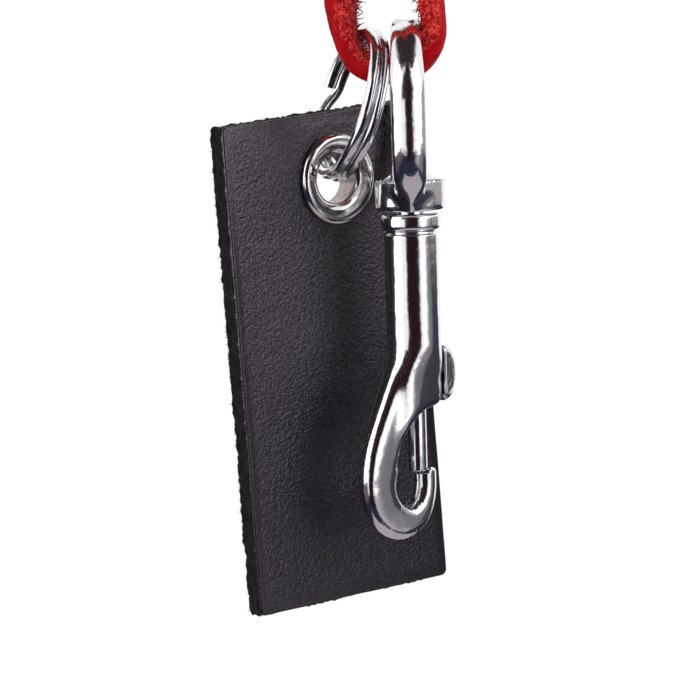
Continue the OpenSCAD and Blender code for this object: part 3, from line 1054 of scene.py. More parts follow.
@dataclass
class Lace:
    """Flat leather lace bent into a loop, closed by a wrapped knot with two tails."""

    turn: float = -60.0
    route: tuple[Pair, ...] = (
        (-2.1, 11.2), (-2.1, 8.0), (-2.2, 6.0), (-3.6, 3.2), (-5.6, 0.0), (-7.0, -5.0), (-7.6, -10.0), (-7.5, -14.0),
        (-7.2, -16.5), (-6.5, -19.0), (-4.8, -21.6), (-2.1, -22.9), (0.9, -23.1), (3.9, -22.5),
        (6.0, -21.5), (7.7, -20.0), (8.6, -17.8), (8.7, -15.0), (8.3, -11.0), (7.3, -5.5), (5.6, 0.0),
        (3.6, 3.2), (2.2, 6.0), (2.1, 8.0), (2.1, 11.2),
    )
    length: float = 74.5
    width: float = 5.0
    thick: float = 3.9
    low_swell: float = 0.5
    low_shift: float = 0.4
    left_swell: float = 1.4
    right_swell: float = -0.1
    right_shift: float = 0.45
    right_roll: float = 52.0
    low_roll: float = -38.0
    left_roll: float = -8.0
    strand: float = 2.1
    wraps: float = 3.0
    knot_low: float = 8.0
    knot_high: float = 20.5
    tail_top: float = 29.4
    tail_lean: float = 8.0
    rings: int = 330
    sides: int = 56
    square: float = 2.7
    nap: float = 0.13
    nap_size: float = 0.75
    nap_least: float = 0.2
    wave: float = 0.10
    wave_size: float = 4.0
    squeeze: float = 0.8
    knot_squeeze: float = 1.0
    knot_band: Pair = (1.0, 6.0)
    leg_band: Pair = (-20.0, 9.0)
    right_band: Pair = (-22.0, 4.0)
    right_reach: float = 6.0
    bottom_band: Pair = (-22.0, 9.0)
    low_band: Pair = (-23.0, 3.0)
    suede_band: Pair = (0.05, 0.6)
    shag_band: Pair = (0.45, 0.3)
    shag_least: float = 0.04
    wrap_over: float = 0.35
    wrap_lap: float = 0.35
    wrap_tuck: float = 0.3
    wrap_rings: int = 260
    tail_foot: float = 6.0
    tail_rings: int = 70

    def _stand(self, flat: np.ndarray) -> np.ndarray:
        """Stands a flat route, given as distance and height, up in the lace's plane."""
        a = math.radians(self.turn)
        return np.stack([flat[:, 0] * math.cos(a), flat[:, 0] * math.sin(a), flat[:, 1]], axis=1)

    def _across(self) -> np.ndarray:
        """Gives the level direction square to the lace's plane."""
        a = math.radians(self.turn)
        return np.array([-math.sin(a), math.cos(a), 0.0])

    def _strip(
        self,
        line: np.ndarray,
        outward: np.ndarray,
        thick: np.ndarray,
        width: np.ndarray,
        roll: np.ndarray | None = None,
    ) -> tuple[np.ndarray, np.ndarray]:
        """Sweeps the strip's rounded section along a line and roughens its suede.

        Args:
            line: Middle of the strip.
            outward: Direction of its smooth side at each point.
            thick: Thickness along outward, at each point.
            width: Width across it, at each point.
            roll: How far the smooth side is turned round the line, in radians, at each point.

        Returns:
            The rings of points, and the share of suede at each point.
        """
        along = unit(np.gradient(line, axis=0))
        out = unit(outward - (outward * along).sum(1)[:, None] * along)
        side = np.cross(along, out)
        angles = np.linspace(0.0, 2 * math.pi, self.sides, endpoint=False)
        c, s = (np.sign(wave) * np.abs(wave) ** (2 / self.square) for wave in (np.cos(angles), np.sin(angles)))
        push_out = out[:, None] * (thick[:, None] / 2 * c)[..., None]
        push_side = side[:, None] * (width[:, None] / 2 * s)[..., None]
        rings = line[:, None] + push_out + push_side
        turn = np.zeros(len(line)) if roll is None else roll
        facing = np.outer(np.cos(turn), c) + np.outer(np.sin(turn), s)
        suede = 1 - ease(facing, *self.suede_band)
        shaggy = self.nap_least + (1 - self.nap_least) * suede
        rough = self.nap * shaggy * lumps(rings, self.nap_size).reshape(suede.shape)
        rough += self.wave * lumps(rings, self.wave_size, 2).reshape(suede.shape)
        return rings + unit(rings - line[:, None]) * rough[..., None], suede

    def build(self, material: Material, fibre: Material) -> list[Piece]:
        """Args:
            material: Material of the lace.
            fibre: Material of the loose fibres.

        Returns:
            The pieces.
        """
        flat = smooth_line(np.array(self.route), self.rings)
        over, height = flat.T
        step = np.gradient(flat, axis=0)
        outward = self._stand(np.stack([step[:, 1], -step[:, 0]], axis=1))
        near_knot = ease(height, *self.knot_band)
        low = 1 - ease(height, *self.low_band)
        bottom = 1 - ease(height, *self.bottom_band)
        right = ease(over, 0.0, self.right_reach) * ease(height, *self.right_band) * (1 - near_knot)
        swell = np.where(over < 0, self.left_swell, self.right_swell) * ease(height, *self.leg_band)
        swell = swell * (1 - near_knot) + self.low_swell * low
        shift = self.low_shift * low - self.right_shift * right
        line = self._stand(flat) + unit(outward) * shift[:, None]
        width = self.width - self.squeeze * swell - self.knot_squeeze * near_knot
        left = (over < 0) * (1 - bottom)
        roll = np.radians(self.right_roll * right + self.low_roll * bottom + self.left_roll * left)
        rings, suede = self._strip(line, outward, self.thick + swell, width, roll)
        loop = make_piece("lace", rings, loft_faces(self.rings, self.sides, False, True), [material])
        set_values(loop, "suede", suede)
        inward = -np.cos(np.linspace(0.0, 2 * math.pi, self.sides, endpoint=False))
        shaggy = self.shag_least + (1 - self.shag_least) * ease(inward, *self.shag_band)
        set_values(loop, "fuzz", suede * shaggy)
        knot = self._knot(material)
        fuzz = Fuzz("lace_fibres", 1.7, 1.5, 0.34, 7).grow(loop, fibre)
        knot_fuzz = Fuzz("knot_fibres", 1.6, 0.8, 0.085, 11).grow(knot, fibre)
        dress(loop, Body.LACE, Slot.LACE, "lace_loop")
        dress(knot, Body.LACE, Slot.LACE, "lace_knot")
        for piece in (fuzz, knot_fuzz):
            dress(piece, Body.LACE, Slot.LACE)
        path = line[height <= self.knot_low + 0.05]
        tuple(path[0] * MM)
        (path * MM).tolist()
        return [loop, knot, fuzz, knot_fuzz]

    def _knot(self, material: Material) -> Piece:
        """Builds the turns that wrap both strands, and the two tails."""
        half = self.thick / 2
        turns = np.linspace(0.0, self.wraps + self.wrap_over, self.wrap_rings)
        tucked = ease(turns / self.wrap_tuck) * ease((turns[-1] - turns) / self.wrap_tuck)
        reach_u = (self.strand + 2 * half + 0.1) * (0.35 + 0.65 * tucked)
        reach_v = (2 * half + 0.15) * (0.2 + 0.8 * tucked)
        angle = 2 * math.pi * (turns + 0.1)
        rise = (self.knot_high - self.knot_low - 2 * half - 0.1) / (self.wraps + self.wrap_over)
        height = self.knot_low + half + 0.05 + rise * turns
        flat = self._stand(np.stack([reach_u * np.cos(angle), height], axis=1))
        line = flat + np.outer(reach_v * np.sin(angle), self._across())
        around = self._stand(np.stack([np.cos(angle) / 1.5, 0 * angle], axis=1))
        around += np.outer(np.sin(angle), self._across())
        even = np.full(len(line), 1.0)
        wrap = self._strip(line, around, even * (self.thick - 0.1), even * (rise + self.wrap_lap))
        parts = [wrap, self._tail(-1), self._tail(1)]
        faces, start = [], 0
        for rings, _ in parts:
            made = loft_faces(rings.shape[0], rings.shape[1], False, True)
            faces += [tuple(start + i for i in face) for face in made]
            start += rings.shape[0] * rings.shape[1]
        points, suede = (np.concatenate(halves) for halves in zip(*parts))
        knot = make_piece("lace_knot_tied", points, faces, [material])
        for label in ("suede", "fuzz"):
            set_values(knot, label, suede)
        return knot

    def _tail(self, side: int) -> tuple[np.ndarray, np.ndarray]:
        """Sweeps one tail, from inside the knot to its cut end."""
        t = np.linspace(0.0, 1.0, self.tail_rings)
        base = self.knot_high - self.tail_foot
        height = base + (self.tail_top - base - 0.2) * t
        lean = math.tan(math.radians(self.tail_lean))
        over = side * (self.strand + (height - base) * lean * (0.4 + 0.5 * t))
        flat = np.stack([over, height], axis=1)
        line = self._stand(flat) + np.outer(0.5 * side * np.sin(2.4 * t), self._across())
        outward = np.tile(self._stand(np.array([[side * 1.0, 0.0]])), (len(t), 1))
        return self._strip(line, outward, np.full(len(t), self.thick - 0.3), np.full(len(t), self.thick + 0.1))


@dataclass
class SplitRing:
    """Two flat coils of one wire, with the step between them and two cut ends."""

    outside: float = 25.8
    wire_wide: float = 1.66
    wire_thick: float = 1.9
    split: float = 0.1
    jog_at: float = 282.0
    jog: float = 14.0
    cut: float = 4.0
    soft: float = 0.44
    sharp: float = 50.0
    steps: int = 220

    def build(self, material: Material) -> Piece:
        """Winds the ring by Geometry Nodes and hangs it where the frame has it.

        Args:
            material: Material of the ring.

        Returns:
            The piece.
        """
        tree = Recipe("split_ring_recipe")
        radius = tree.size("Middle radius", (self.outside - self.wire_thick) / 2 * MM)
        step = tree.size("Step between the coils", (self.wire_wide + self.split) * MM)
        wide = tree.size("Wire across the ring", self.wire_wide * MM)
        thick = tree.size("Wire along the radius", self.wire_thick * MM)
        turns = (720.0 - self.jog - 2 * self.cut) / 360.0
        rotations = tree.size("Turns", turns)
        points = tree.size("Points in a turn", self.steps)
        share = self.jog / 720.0
        curve = tree.coil(points, rotations, radius, 0.0)
        climb = tree.steps(tree.along(), 0.5 - share, 0.5 + share)
        lift = tree.vector(0.0, 0.0, step * (climb - 0.5))
        curve = tree.node("GeometryNodeSetPosition", None, {"Geometry": curve, "Offset": lift})
        curve = tree.node("GeometryNodeSetCurveNormal", {"mode": "Z_UP"}, {"Curve": curve})
        section = {"Width": thick, "Height": wide}
        flat = tree.node("GeometryNodeCurvePrimitiveQuadrilateral", {"mode": "RECTANGLE"}, section)
        soft = {"Curve": flat, "Count": 7, "Radius": self.soft * wide, "Limit Radius": True}
        profile = tree.node("GeometryNodeFilletCurve", {"mode": "POLY"}, soft)
        ring = tree.run("split_ring_coils", tree.tube(curve, profile), material)
        ring.data.transform(self._hang(turns))
        ring.data.set_sharp_from_angle(angle=math.radians(self.sharp))
        return dress(ring, Body.RING, Slot.CHROME, "split_ring")

    def _hang(self, turns: float) -> Matrix:
        """Gives the place of the ring, with its step at the angle that it has on the part."""
        mount = named("mounts", "ring_eye")
        centre = np.array(mount["pos_m"])
        axis = -unit(mount["axis"])
        low = np.array(named("joints", "tag_swing")["pos_m"]) - centre
        down = unit(low - (low @ axis) * axis)
        place = matrix_of(down, np.cross(axis, down), axis, centre)
        halfway = 180.0 * turns
        return place @ Matrix.Rotation(math.radians(self.jog_at - halfway), 4, "Z")


@dataclass
class Tag:
    """Leather rectangle with round corners, soft front edges, raw sides and a suede back."""

    width: float = 40.0
    height: float = 80.0
    thick: float = 3.5
    corner: float = 1.0
    eyelet_in: float = 22.7
    eyelet_down: float = 11.1
    roll: float = 3.6
    hole: float = 4.5
    front_edge: float = 0.32
    back_edge: float = 0.35
    rim_band: Pair = (0.9, 1.3)
    shag_band: Pair = (1.2, 1.6)
    back_shag: float = 0.14
    top_bald: float = 0.8
    wander: float = 0.10
    fray: Pair = (0.3, 0.12)
    dent: float = 0.16
    dent_band: Pair = (7.3, 2.2)
    swell: float = 0.05
    points: int = 520

    def _outline(self) -> tuple[np.ndarray, np.ndarray]:
        """Gives the outline about the eyelet, and its outward directions."""
        left, right = -self.eyelet_in, self.width - self.eyelet_in
        top, low = self.eyelet_down, self.eyelet_down - self.height
        r = self.corner
        left, right, top, low = left + r, right - r, top - r, low + r
        line = []
        for x, z, start in ((right, top, 90), (right, low, 0), (left, low, -90), (left, top, 180)):
            line += arc((x, z), r, start, start - 90, 16)
        line.append(line[0])
        outline = evenly(np.array(line), self.points + 1)[:-1]
        along = np.roll(outline, -1, 0) - np.roll(outline, 1, 0)
        return outline, unit(np.stack([-along[:, 1], along[:, 0]], axis=1))

    def _layers(self) -> list[tuple[float, float, float, Side]]:
        """Lists the tag's skin from the hole's front edge round to its back edge.

        Returns:
            For each ring: its share of the way from the hole to the outline, its inset from the
            outline, its depth behind the front face, and its side.
        """
        front, back = self.front_edge, self.back_edge
        layers = [(t, front, 0.0, Side.FRONT) for t in 1 - (1 - np.linspace(0.0, 1.0, 26)) ** 1.6]
        for a in np.radians(np.linspace(12.0, 90.0, 8)):
            layers.append((1.0, front * (1 - math.sin(a)), front * (1 - math.cos(a)), Side.FRONT))
        for depth in np.linspace(front + 0.12, self.thick - back, 10):
            layers.append((1.0, 0.0, depth, Side.EDGE))
        for a in np.radians(np.linspace(20.0, 90.0, 4)):
            depth = self.thick - back * (1 - math.sin(a))
            layers.append((1.0, back * (1 - math.cos(a)), depth, Side.EDGE))
        layers += [(t, back, self.thick, Side.BACK) for t in 1 - np.linspace(0.05, 1.0, 20) ** 2]
        layers += [(0.0, back, depth, Side.EDGE) for depth in (0.7 * self.thick, 0.35 * self.thick)]
        return layers

    def build(
        self,
        front: Material,
        edge: Material,
        back: Material,
        fibre: Material,
    ) -> list[Piece]:
        """Builds the tag and the fibres on its raw sides.

        Args:
            front: Material of the grain side.
            edge: Material of the cut sides.
            back: Material of the flesh side.
            fibre: Material of the loose fibres.

        Returns:
            The pieces.
        """
        outline, outward = self._outline()
        bearing = np.arctan2(outline[:, 1], outline[:, 0])
        hole = self.hole * np.stack([np.cos(bearing), np.sin(bearing)], axis=1)
        rings, fuzzy, rims = [], [], []
        layers = self._layers()
        loose = 1 - self.top_bald * np.maximum(outward[:, 1], 0.0)
        for share, inset, depth, side in layers:
            flat = hole * (1 - share) + (outline - outward * inset) * share
            ring = np.stack([flat[:, 0], np.full(len(flat), depth), flat[:, 1]], axis=1)
            rims.append(self._rim(flat))
            rings.append(self._worn(ring, outward, share, side))
            fuzzy.append(loose * self._shag(share, depth, side))
        points = self._place(np.array(rings))
        faces = loft_faces(len(rings), self.points, True, False)
        tag = make_piece("leather_tag_cut", points, faces, [front, edge, back])
        sides = np.repeat([int(side) for *_, side in layers], self.points)
        tag.data.polygons.foreach_set("material_index", sides.astype(np.int32))
        set_values(tag, "fuzz", np.array(fuzzy))
        set_values(tag, "rim", np.array(rims))
        fibres = Fuzz("tag_fibres", 4.0, 0.5, 0.095, 23, 1.25).grow(tag, fibre)
        dress(tag, Body.TAG, Slot.LEATHER, "leather_tag")
        dress(fibres, Body.TAG, Slot.LEATHER)
        return [tag, fibres]

    def _shag(self, share: float, depth: float, side: Side) -> float:
        """Gives how thick the loose fibres stand on a ring of the skin."""
        if side is Side.EDGE:
            return ease(depth, *self.shag_band) * (share > 0.5)
        return self.back_shag * ease(share * 2) if side is Side.BACK else 0.0

    def _rim(self, flat: np.ndarray) -> np.ndarray:
        """Gives 1 on the smooth strip along the tag's edges, and 0 inside it."""
        x, z = flat[:, 0] + self.eyelet_in, self.eyelet_down - flat[:, 1]
        inset = np.minimum(np.minimum(x, self.width - x), np.minimum(z, self.height - z))
        return 1 - ease(inset, *self.rim_band)

    def _worn(self, ring: np.ndarray, outward: np.ndarray, share: float, side: Side) -> np.ndarray:
        """Presses, waves and frays one ring of the skin.

        Args:
            ring: Points of the ring about the eyelet.
            outward: Outward directions of the outline.
            share: Share of the way from the hole to the outline.
            side: Side that the ring lies on.

        Returns:
            The worn ring.
        """
        flare = np.stack([outward[:, 0], np.zeros(len(outward)), outward[:, 1]], axis=1)
        push = self.wander * lumps(ring * (1.0, 0.0, 1.0), 14.0, 2) * ease(share, 0.6, 0.4)
        if side is Side.EDGE and share > 0.5:
            push = push + (self.fray[0] * lumps(ring, 0.7) + self.fray[1] * lumps(ring, 2.6, 2))
        ring = ring + flare * push[:, None]
        if side is not Side.EDGE:
            radius = np.hypot(ring[:, 0], ring[:, 2])
            dent = self.dent * (1 - ease(radius, *self.dent_band)) * (1 if side is Side.FRONT else -1)
            ring[:, 1] += dent + self.swell * lumps(ring, 11.0, 2)
        return ring

    def _place(self, points: np.ndarray) -> np.ndarray:
        """Rolls the tag in its plane and hangs it on the eyelet."""
        x, z = spun(points[..., 0], points[..., 2], -self.roll)
        return np.stack([x, points[..., 1], z], axis=-1) + eyelet_seat()


@dataclass
class Eyelet:
    """Rolled eyelet through the leather, set over a flat washer."""

    bore: float = 8.0
    flange: float = 15.0
    height: float = 1.2
    wall: float = 0.5
    leather: float = 3.5
    washer: float = 14.4
    washer_thick: float = 0.8
    washer_bore: float = 10.8
    washer_edge: float = 0.25
    bore_deep: float = 0.2
    steps: int = 180

    def _profile(self) -> list[Pair]:
        """Gives the eyelet's section as radius and depth behind the leather's face."""
        r, rim, high, leather = self.bore / 2, self.flange / 2, self.height, self.leather
        crown = (
            (rim - 0.12, 0.0), (rim, -0.32), (rim - 0.16, -0.82), (rim - 0.62, -high), (rim - 1.2, -high + 0.03),
            (rim - 1.95, -high + 0.26), (r + 0.95, -high + 0.5), (r + 0.38, -high + 0.86), (r + 0.08, -0.02),
            (r, 0.6),
        )
        back = leather + self.washer_thick
        flare = ((r, leather - 0.1), (r + 0.1, leather + 0.35), (r + 0.6, back), (r + 1.3, back + 0.6))
        curved = [tuple(p) for line, count in ((crown, 60), (flare, 14)) for p in smooth_line(np.array(line), count)]
        lip = arc((self.washer_bore / 2 + 0.6, back + 0.3), 0.3, 90, -90, 8)
        wall = r + self.wall
        under = [(self.washer_bore / 2, back), (wall, leather + 0.1), (wall, 0.1), (r + 1.2, 0.0)]
        return [*curved, *lip, *under]

    def build(self, material: Material, inside: Material) -> list[Piece]:
        """Turns the eyelet and its washer.

        Args:
            material: Material of both.
            inside: Material of the eyelet's bore, rougher nickel whose darker colour is painted shade.

        Returns:
            The pieces.
        """
        seat, behind = eyelet_seat(), (0, 1, 0)
        profile = self._profile()
        eyelet = make_piece("eyelet_rolled", *lathe(profile, seat, behind, self.steps), [material, inside], SHARP)
        # The bore's faces take the darker nickel, painted shade inside the hole.
        bored = [radius < self.bore / 2 + self.bore_deep for radius, _ in profile]
        eyelet.data.polygons.foreach_set("material_index", np.repeat(bored, self.steps).astype(np.int32))
        dress(eyelet, Body.TAG, Slot.NICKEL, "eyelet")
        edge = self.washer_edge
        near, far = self.leather, self.leather + self.washer_thick
        inner, outer = self.washer_bore / 2, self.washer / 2
        section = [(inner, near), (outer - 0.05, near)]
        section += arc((outer - edge, far - edge), edge, 0, 90, 6)
        section += arc((inner + 0.1, far - 0.1), 0.1, 90, 180, 3)
        washer = make_piece("eyelet_back_washer", *lathe(section, seat, behind, self.steps), [material], SHARP)
        dress(washer, Body.TAG, Slot.NICKEL, "eyelet_washer")
        return [eyelet, washer]


@dataclass
class SwivelEye:
    """Upright loop cast in one with the drum that turns on the rivet."""

    turn: float = 50.0
    opening_w: float = 18.0
    opening_h: float = 24.0
    limb_t: float = 4.2
    limb_w: float = 5.2
    crown_w: float = 4.7
    crown_up: float = 3.0
    crown_over: float = 6.0
    ridge: float = 0.9
    ridge_round: float = 0.22
    keel: float = 0.8
    keel_above: float = 5.5
    drum_d: float = 12.0
    drum_h: float = 4.6
    cup_h: float = 0.9
    drum_edge: float = 1.1
    taper: float = 0.02
    fillet: float = 2.3
    bore: float = 4.7
    bore_edge: float = 0.15
    foot_edge: float = 0.3
    shoulder: float = 1.0
    pocket: float = 9.0
    pocket_half: float = 3.0
    pocket_edge: float = 0.25
    head_d: float = 8.4
    head_h: float = 2.4
    head_edge: float = 0.25
    shank_d: float = 4.6

    def build(self, material: Material) -> list[Piece]:
        """Casts the eye and turns its rivet.

        Args:
            material: Material of both.

        Returns:
            The pieces.
        """
        eye = Casting("swivel_eye_cast", "swivel_eye", self._shape(), 0.2, 9, 0.4).build(material)
        dress(eye, Body.EYE, Slot.CHROME, "swivel_eye")
        foot, top = (corner[2] for corner in corners("swivel_rivet"))
        rim = top - self.head_h
        r, dome, edge = self.head_d / 2, self.head_h, self.head_edge
        sphere = (r**2 + dome**2) / (2 * dome)
        span = math.degrees(math.asin(r / sphere))
        profile = arc((0.0, top - sphere), sphere, 90, 90 - span + 1.5, 20)
        profile += arc((r - edge, rim + edge), edge, 20, -90, 6)
        profile += [(self.shank_d / 2, rim), (self.shank_d / 2, foot), (0.0, foot)]
        rivet = turned("swivel_rivet_turned", profile, "swivel_rivet", material)
        dress(rivet, Body.SNAP, Slot.CHROME, "swivel_rivet")
        return [eye, rivet]

    def _shape(self) -> Shape:
        """Gives the eye's shape: a rounded loop that flows into the drum."""
        x, y, _ = centre_of("swivel_eye")
        bottom, top = (corner[2] for corner in corners("swivel_eye"))
        drum_top = bottom + self.drum_h
        cup_top = drum_top + self.cup_h
        bend = self.opening_w / 2
        middle = bend + self.limb_t / 2
        upper = top - self.limb_t - bend
        lower = upper - (self.opening_h - self.opening_w)
        keel_top = lower - self.keel_above

        def distance(p: np.ndarray) -> np.ndarray:
            """Gives the distance of each point from the eye's skin."""
            q = np.stack([*spun(p[:, 0] - x, p[:, 1] - y, self.turn), p[:, 2]], axis=1)
            along = q[:, 2] - np.clip(q[:, 2], lower, upper)
            off = np.hypot(q[:, 0], along) - middle
            down = ease((keel_top - q[:, 2]) / (keel_top - bottom))
            crown = ease((q[:, 2] - upper - self.crown_up) / self.crown_over)
            half = self.limb_w / 2 + (self.keel - self.limb_w / 2) * down + (self.crown_w - self.limb_w) / 2 * crown
            side = np.sqrt(q[:, 1] ** 2 + self.ridge_round**2) + self.ridge - self.ridge_round
            flat = np.sqrt(half**2 + 2 * half * self.ridge) / (self.limb_t / 2)
            loop = (np.hypot(off * flat, side) - half - self.ridge) / flat
            radius = np.hypot(q[:, 0], q[:, 1])
            base = drum(q, self.drum_d / 2, bottom, cup_top, self.drum_edge)
            cone = radius - self.drum_d / 2 + self.taper * (cup_top - q[:, 2])
            body = blend_min(loop, blend_max(base, cone, self.shoulder), self.fillet)
            body = blend_max(body, bottom - q[:, 2], self.foot_edge)
            body = blend_max(body, self.bore / 2 - radius, self.bore_edge)
            floor = np.abs(q[:, 2] - drum_top - self.pocket_half) - self.pocket_half
            pocket = np.maximum(radius - self.pocket / 2, floor)
            return blend_max(body, -pocket, self.pocket_edge)

        return distance


@dataclass
class SnapBody:
    """Body of the snap: lip, barrel with the stud's slot, and hook, in one casting."""

    barrel_d: float = 8.9
    barrel_flat: float = 0.2
    barrel_square: float = 1.8
    wedge: float = 0.26
    flare: float = 0.13
    hook_wide: float = 0.17
    hook_flat: float = 0.27
    hook_square: float = 1.0
    lip_d: float = 9.8
    lip_h: float = 2.7
    barrel_l: float = 33.6
    bolt_bore: float = 3.3
    spine_x: float = 8.7
    spine_d: float = 5.4
    tip_x: float = 1.4
    tip_d: float = 3.8
    gate_h: float = 8.2
    bowl_h: float = 8.6
    neck_up: float = 13.6
    tip_straight: float = 2.2
    throat_r: float = 7.6
    throat_x: float = 2.9
    throat_rise: float = 1.8
    throat_soft: float = 2.4
    bore_down: float = 6.5
    slot_w: float = 2.6
    slot_h: float = 11.0
    slot_up: float = 5.8
    seat_depth: float = 0.8
    seat_d: float = 3.9
    seat_h: float = 3.0
    seat_edge: float = 0.25
    flow: float = 2.0
    flow_least: float = 0.3
    flow_over: float = 11.0
    lip_edge: float = 0.8
    barrel_edge: float = 0.4
    barrel_down: float = 0.5
    groove_r: float = 0.42
    groove_out: float = 0.05
    groove_down: float = 0.3
    neck_in: float = 0.25
    tip_end: float = 1.1
    tip_reach: float = 3.0
    tip_edge: float = 0.6
    cut_edge: float = 0.2
    flare_up: float = 2.5
    flare_over: float = 4.0
    level_up: float = 12.5
    level_over: float = 7.0
    thin_band: Pair = (60.0, 120.0)
    flat_in: float = 0.25
    flat_out: Pair = (0.66, 0.25)
    inside: float = -9.0
    samples: int = 250

    def build(self, material: Material) -> Piece:
        """Casts the body.

        Args:
            material: Material of the casting.

        Returns:
            The piece.
        """
        body = Casting("snap_body_cast", "snap_body", self._shape(), 0.19).build(material)
        return dress(body, Body.SNAP, Slot.CHROME, "snap_body")

    def _hook_line(self, throat: float) -> np.ndarray:
        """Gives the hook's middle line and radius, as distance from the axis, height and radius.

        Args:
            throat: Height of the throat.

        Returns:
            One row for each sample.
        """
        tip_top = throat - self.gate_h
        neck_top, neck_end = throat + self.neck_up, tip_top - self.tip_straight
        neck_r, spine_r, tip_r = self.barrel_d / 2 - self.neck_in, self.spine_d / 2, self.tip_d / 2
        s = np.linspace(0.0, 1.0, 120)
        fall, narrowing = (neck_end - neck_top) * s, (spine_r - neck_r) * s
        neck = np.stack([-self.spine_x * ease(s), neck_top + fall, neck_r + narrowing], axis=1)
        a = np.linspace(0.0, math.pi, 160)[1:]
        half = (self.tip_x + self.spine_x) / 2
        thin = spine_r + (tip_r - spine_r) * ease(np.degrees(a), *self.thin_band)
        depth = self.bowl_h - self.tip_straight
        over = (self.tip_x - self.spine_x) / 2 - half * np.cos(a)
        bowl = np.stack([over, neck_end - depth * np.sin(a), thin], axis=1)
        tip = np.array([(self.tip_x, tip_top - self.tip_end, tip_r)])
        return evenly(np.concatenate([neck, bowl, tip]), self.samples)

    @staticmethod
    def _squarish(a: np.ndarray, b: np.ndarray, power: np.ndarray) -> np.ndarray:
        """Gives a round section's radius at power 2, and a squarer one's above it."""
        return (np.abs(a) ** power + np.abs(b) ** power + 1e-9) ** (1 / power)

    def _shape(self) -> Shape:
        """Gives the body's shape: a barrel that flows into the hook, with its bores and slot."""
        axis = centre_of("bolt") * LEVEL
        top = corners("snap_body")[1][2]
        throat = top - self.barrel_l
        tip_top = throat - self.gate_h
        throat_low = throat + self.throat_rise - self.throat_r
        bore_top = top - self.bore_down
        bore_half = (bore_top - throat_low) / 2 + 0.5
        line = self._hook_line(throat)
        along = np.gradient(line[:, :2], axis=0)
        step = np.linalg.norm(along, axis=1)
        along /= step[:, None]
        swell = np.gradient(line[:, 2])
        way = np.linspace(0.0, 1.0, self.samples)
        flat = ease(way / self.flat_in) * (1 - ease(way, *self.flat_out))
        bends = np.gradient(flat)
        curve = np.gradient(along, axis=0) / step[:, None]
        slot_low = throat + self.slot_up

        def hook(q: np.ndarray) -> np.ndarray:
            """Gives the distance from the hook's skin."""
            nearest = np.concatenate([
                ((part[:, None, ::2] - line[None, :, :2]) ** 2).sum(2).argmin(1) for part in np.array_split(q, 40)
            ])
            off = q[:, ::2] - line[nearest, :2]
            slide = np.clip((off * along[nearest]).sum(1), -step[nearest], step[nearest])
            off -= slide[:, None] * along[nearest] + 0.5 * slide[:, None] ** 2 * curve[nearest]
            radius = line[nearest, 2] + swell[nearest] * slide / step[nearest]
            press = flat[nearest] + bends[nearest] * slide / step[nearest]
            in_plane = np.hypot(*off.T) / (1 + self.hook_wide * press)
            across = q[:, 1] / (1 - self.hook_flat * press)
            return self._squarish(in_plane, across, 2 + self.hook_square * press) - radius

        def squeezed(q: np.ndarray) -> np.ndarray:
            """Undoes the flat faces and the flare of the barrel's lower end."""
            spread = 1 + self.flare * ease((throat + self.flare_up - q[:, 2]) / self.flare_over)
            level = ease((throat + self.level_up - q[:, 2]) / self.level_over)
            slope = self.wedge * np.clip(0.5 + q[:, 0] / self.barrel_d, 0.0, 1.0)
            thin = 1 - (self.barrel_flat + slope) * level
            reach = self._squarish(q[:, 0] / spread, q[:, 1] / thin, 2 + self.barrel_square * level)
            return np.stack([reach, 0 * reach, q[:, 2]], axis=1)

        def tip_cut(q: np.ndarray) -> np.ndarray:
            """Gives the height over the tip's flat top, near the tip and below the throat."""
            below = np.where(q[:, 2] < throat_low, q[:, 2] - tip_top, self.inside)
            return np.where(q[:, 0] > self.tip_x - self.tip_reach, below, self.inside)

        def distance(p: np.ndarray) -> np.ndarray:
            """Gives the distance of each point from the body's skin."""
            q = p - axis
            radius = np.hypot(q[:, 0], q[:, 1])
            lip = drum(q, self.lip_d / 2, top - self.lip_h, top, self.lip_edge)
            barrel = drum(squeezed(q), self.barrel_d / 2, throat_low, top - self.barrel_down, self.barrel_edge)
            groove_z = top - self.lip_h - self.groove_down
            groove = np.hypot(radius - self.barrel_d / 2 - self.groove_out, q[:, 2] - groove_z) - self.groove_r
            lower = ease((throat + self.neck_up - q[:, 2]) / self.flow_over)
            body = blend_min(barrel, hook(q), self.flow_least + (self.flow - self.flow_least) * lower)
            round_gap = np.hypot(q[:, 0] - self.throat_x, q[:, 2] - throat_low) - self.throat_r
            body = blend_max(body, -np.maximum(round_gap, throat_low - 0.4 - q[:, 2]), self.throat_soft)
            body = blend_min(lip, blend_max(body, -groove, self.cut_edge), self.cut_edge)
            body = blend_max(body, tip_cut(q), self.tip_edge)
            bore = np.maximum(radius - self.bolt_bore / 2, np.abs(q[:, 2] - (bore_top + throat_low) / 2) - bore_half)
            body = blend_max(body, -bore, self.cut_edge)
            slot_ends = np.abs(q[:, 2] - slot_low - self.slot_h / 2) - self.slot_h / 2
            slot = np.maximum(np.abs(q[:, 1]) - self.slot_w / 2, slot_ends)
            body = blend_max(body, -np.maximum(slot, -q[:, 0]), self.cut_edge)
            seat = np.maximum(radius - self.seat_d / 2, tip_top - self.seat_depth - q[:, 2])
            seat = np.maximum(seat, q[:, 2] - tip_top - self.seat_h)
            return blend_max(body, -seat, self.seat_edge)

        return distance


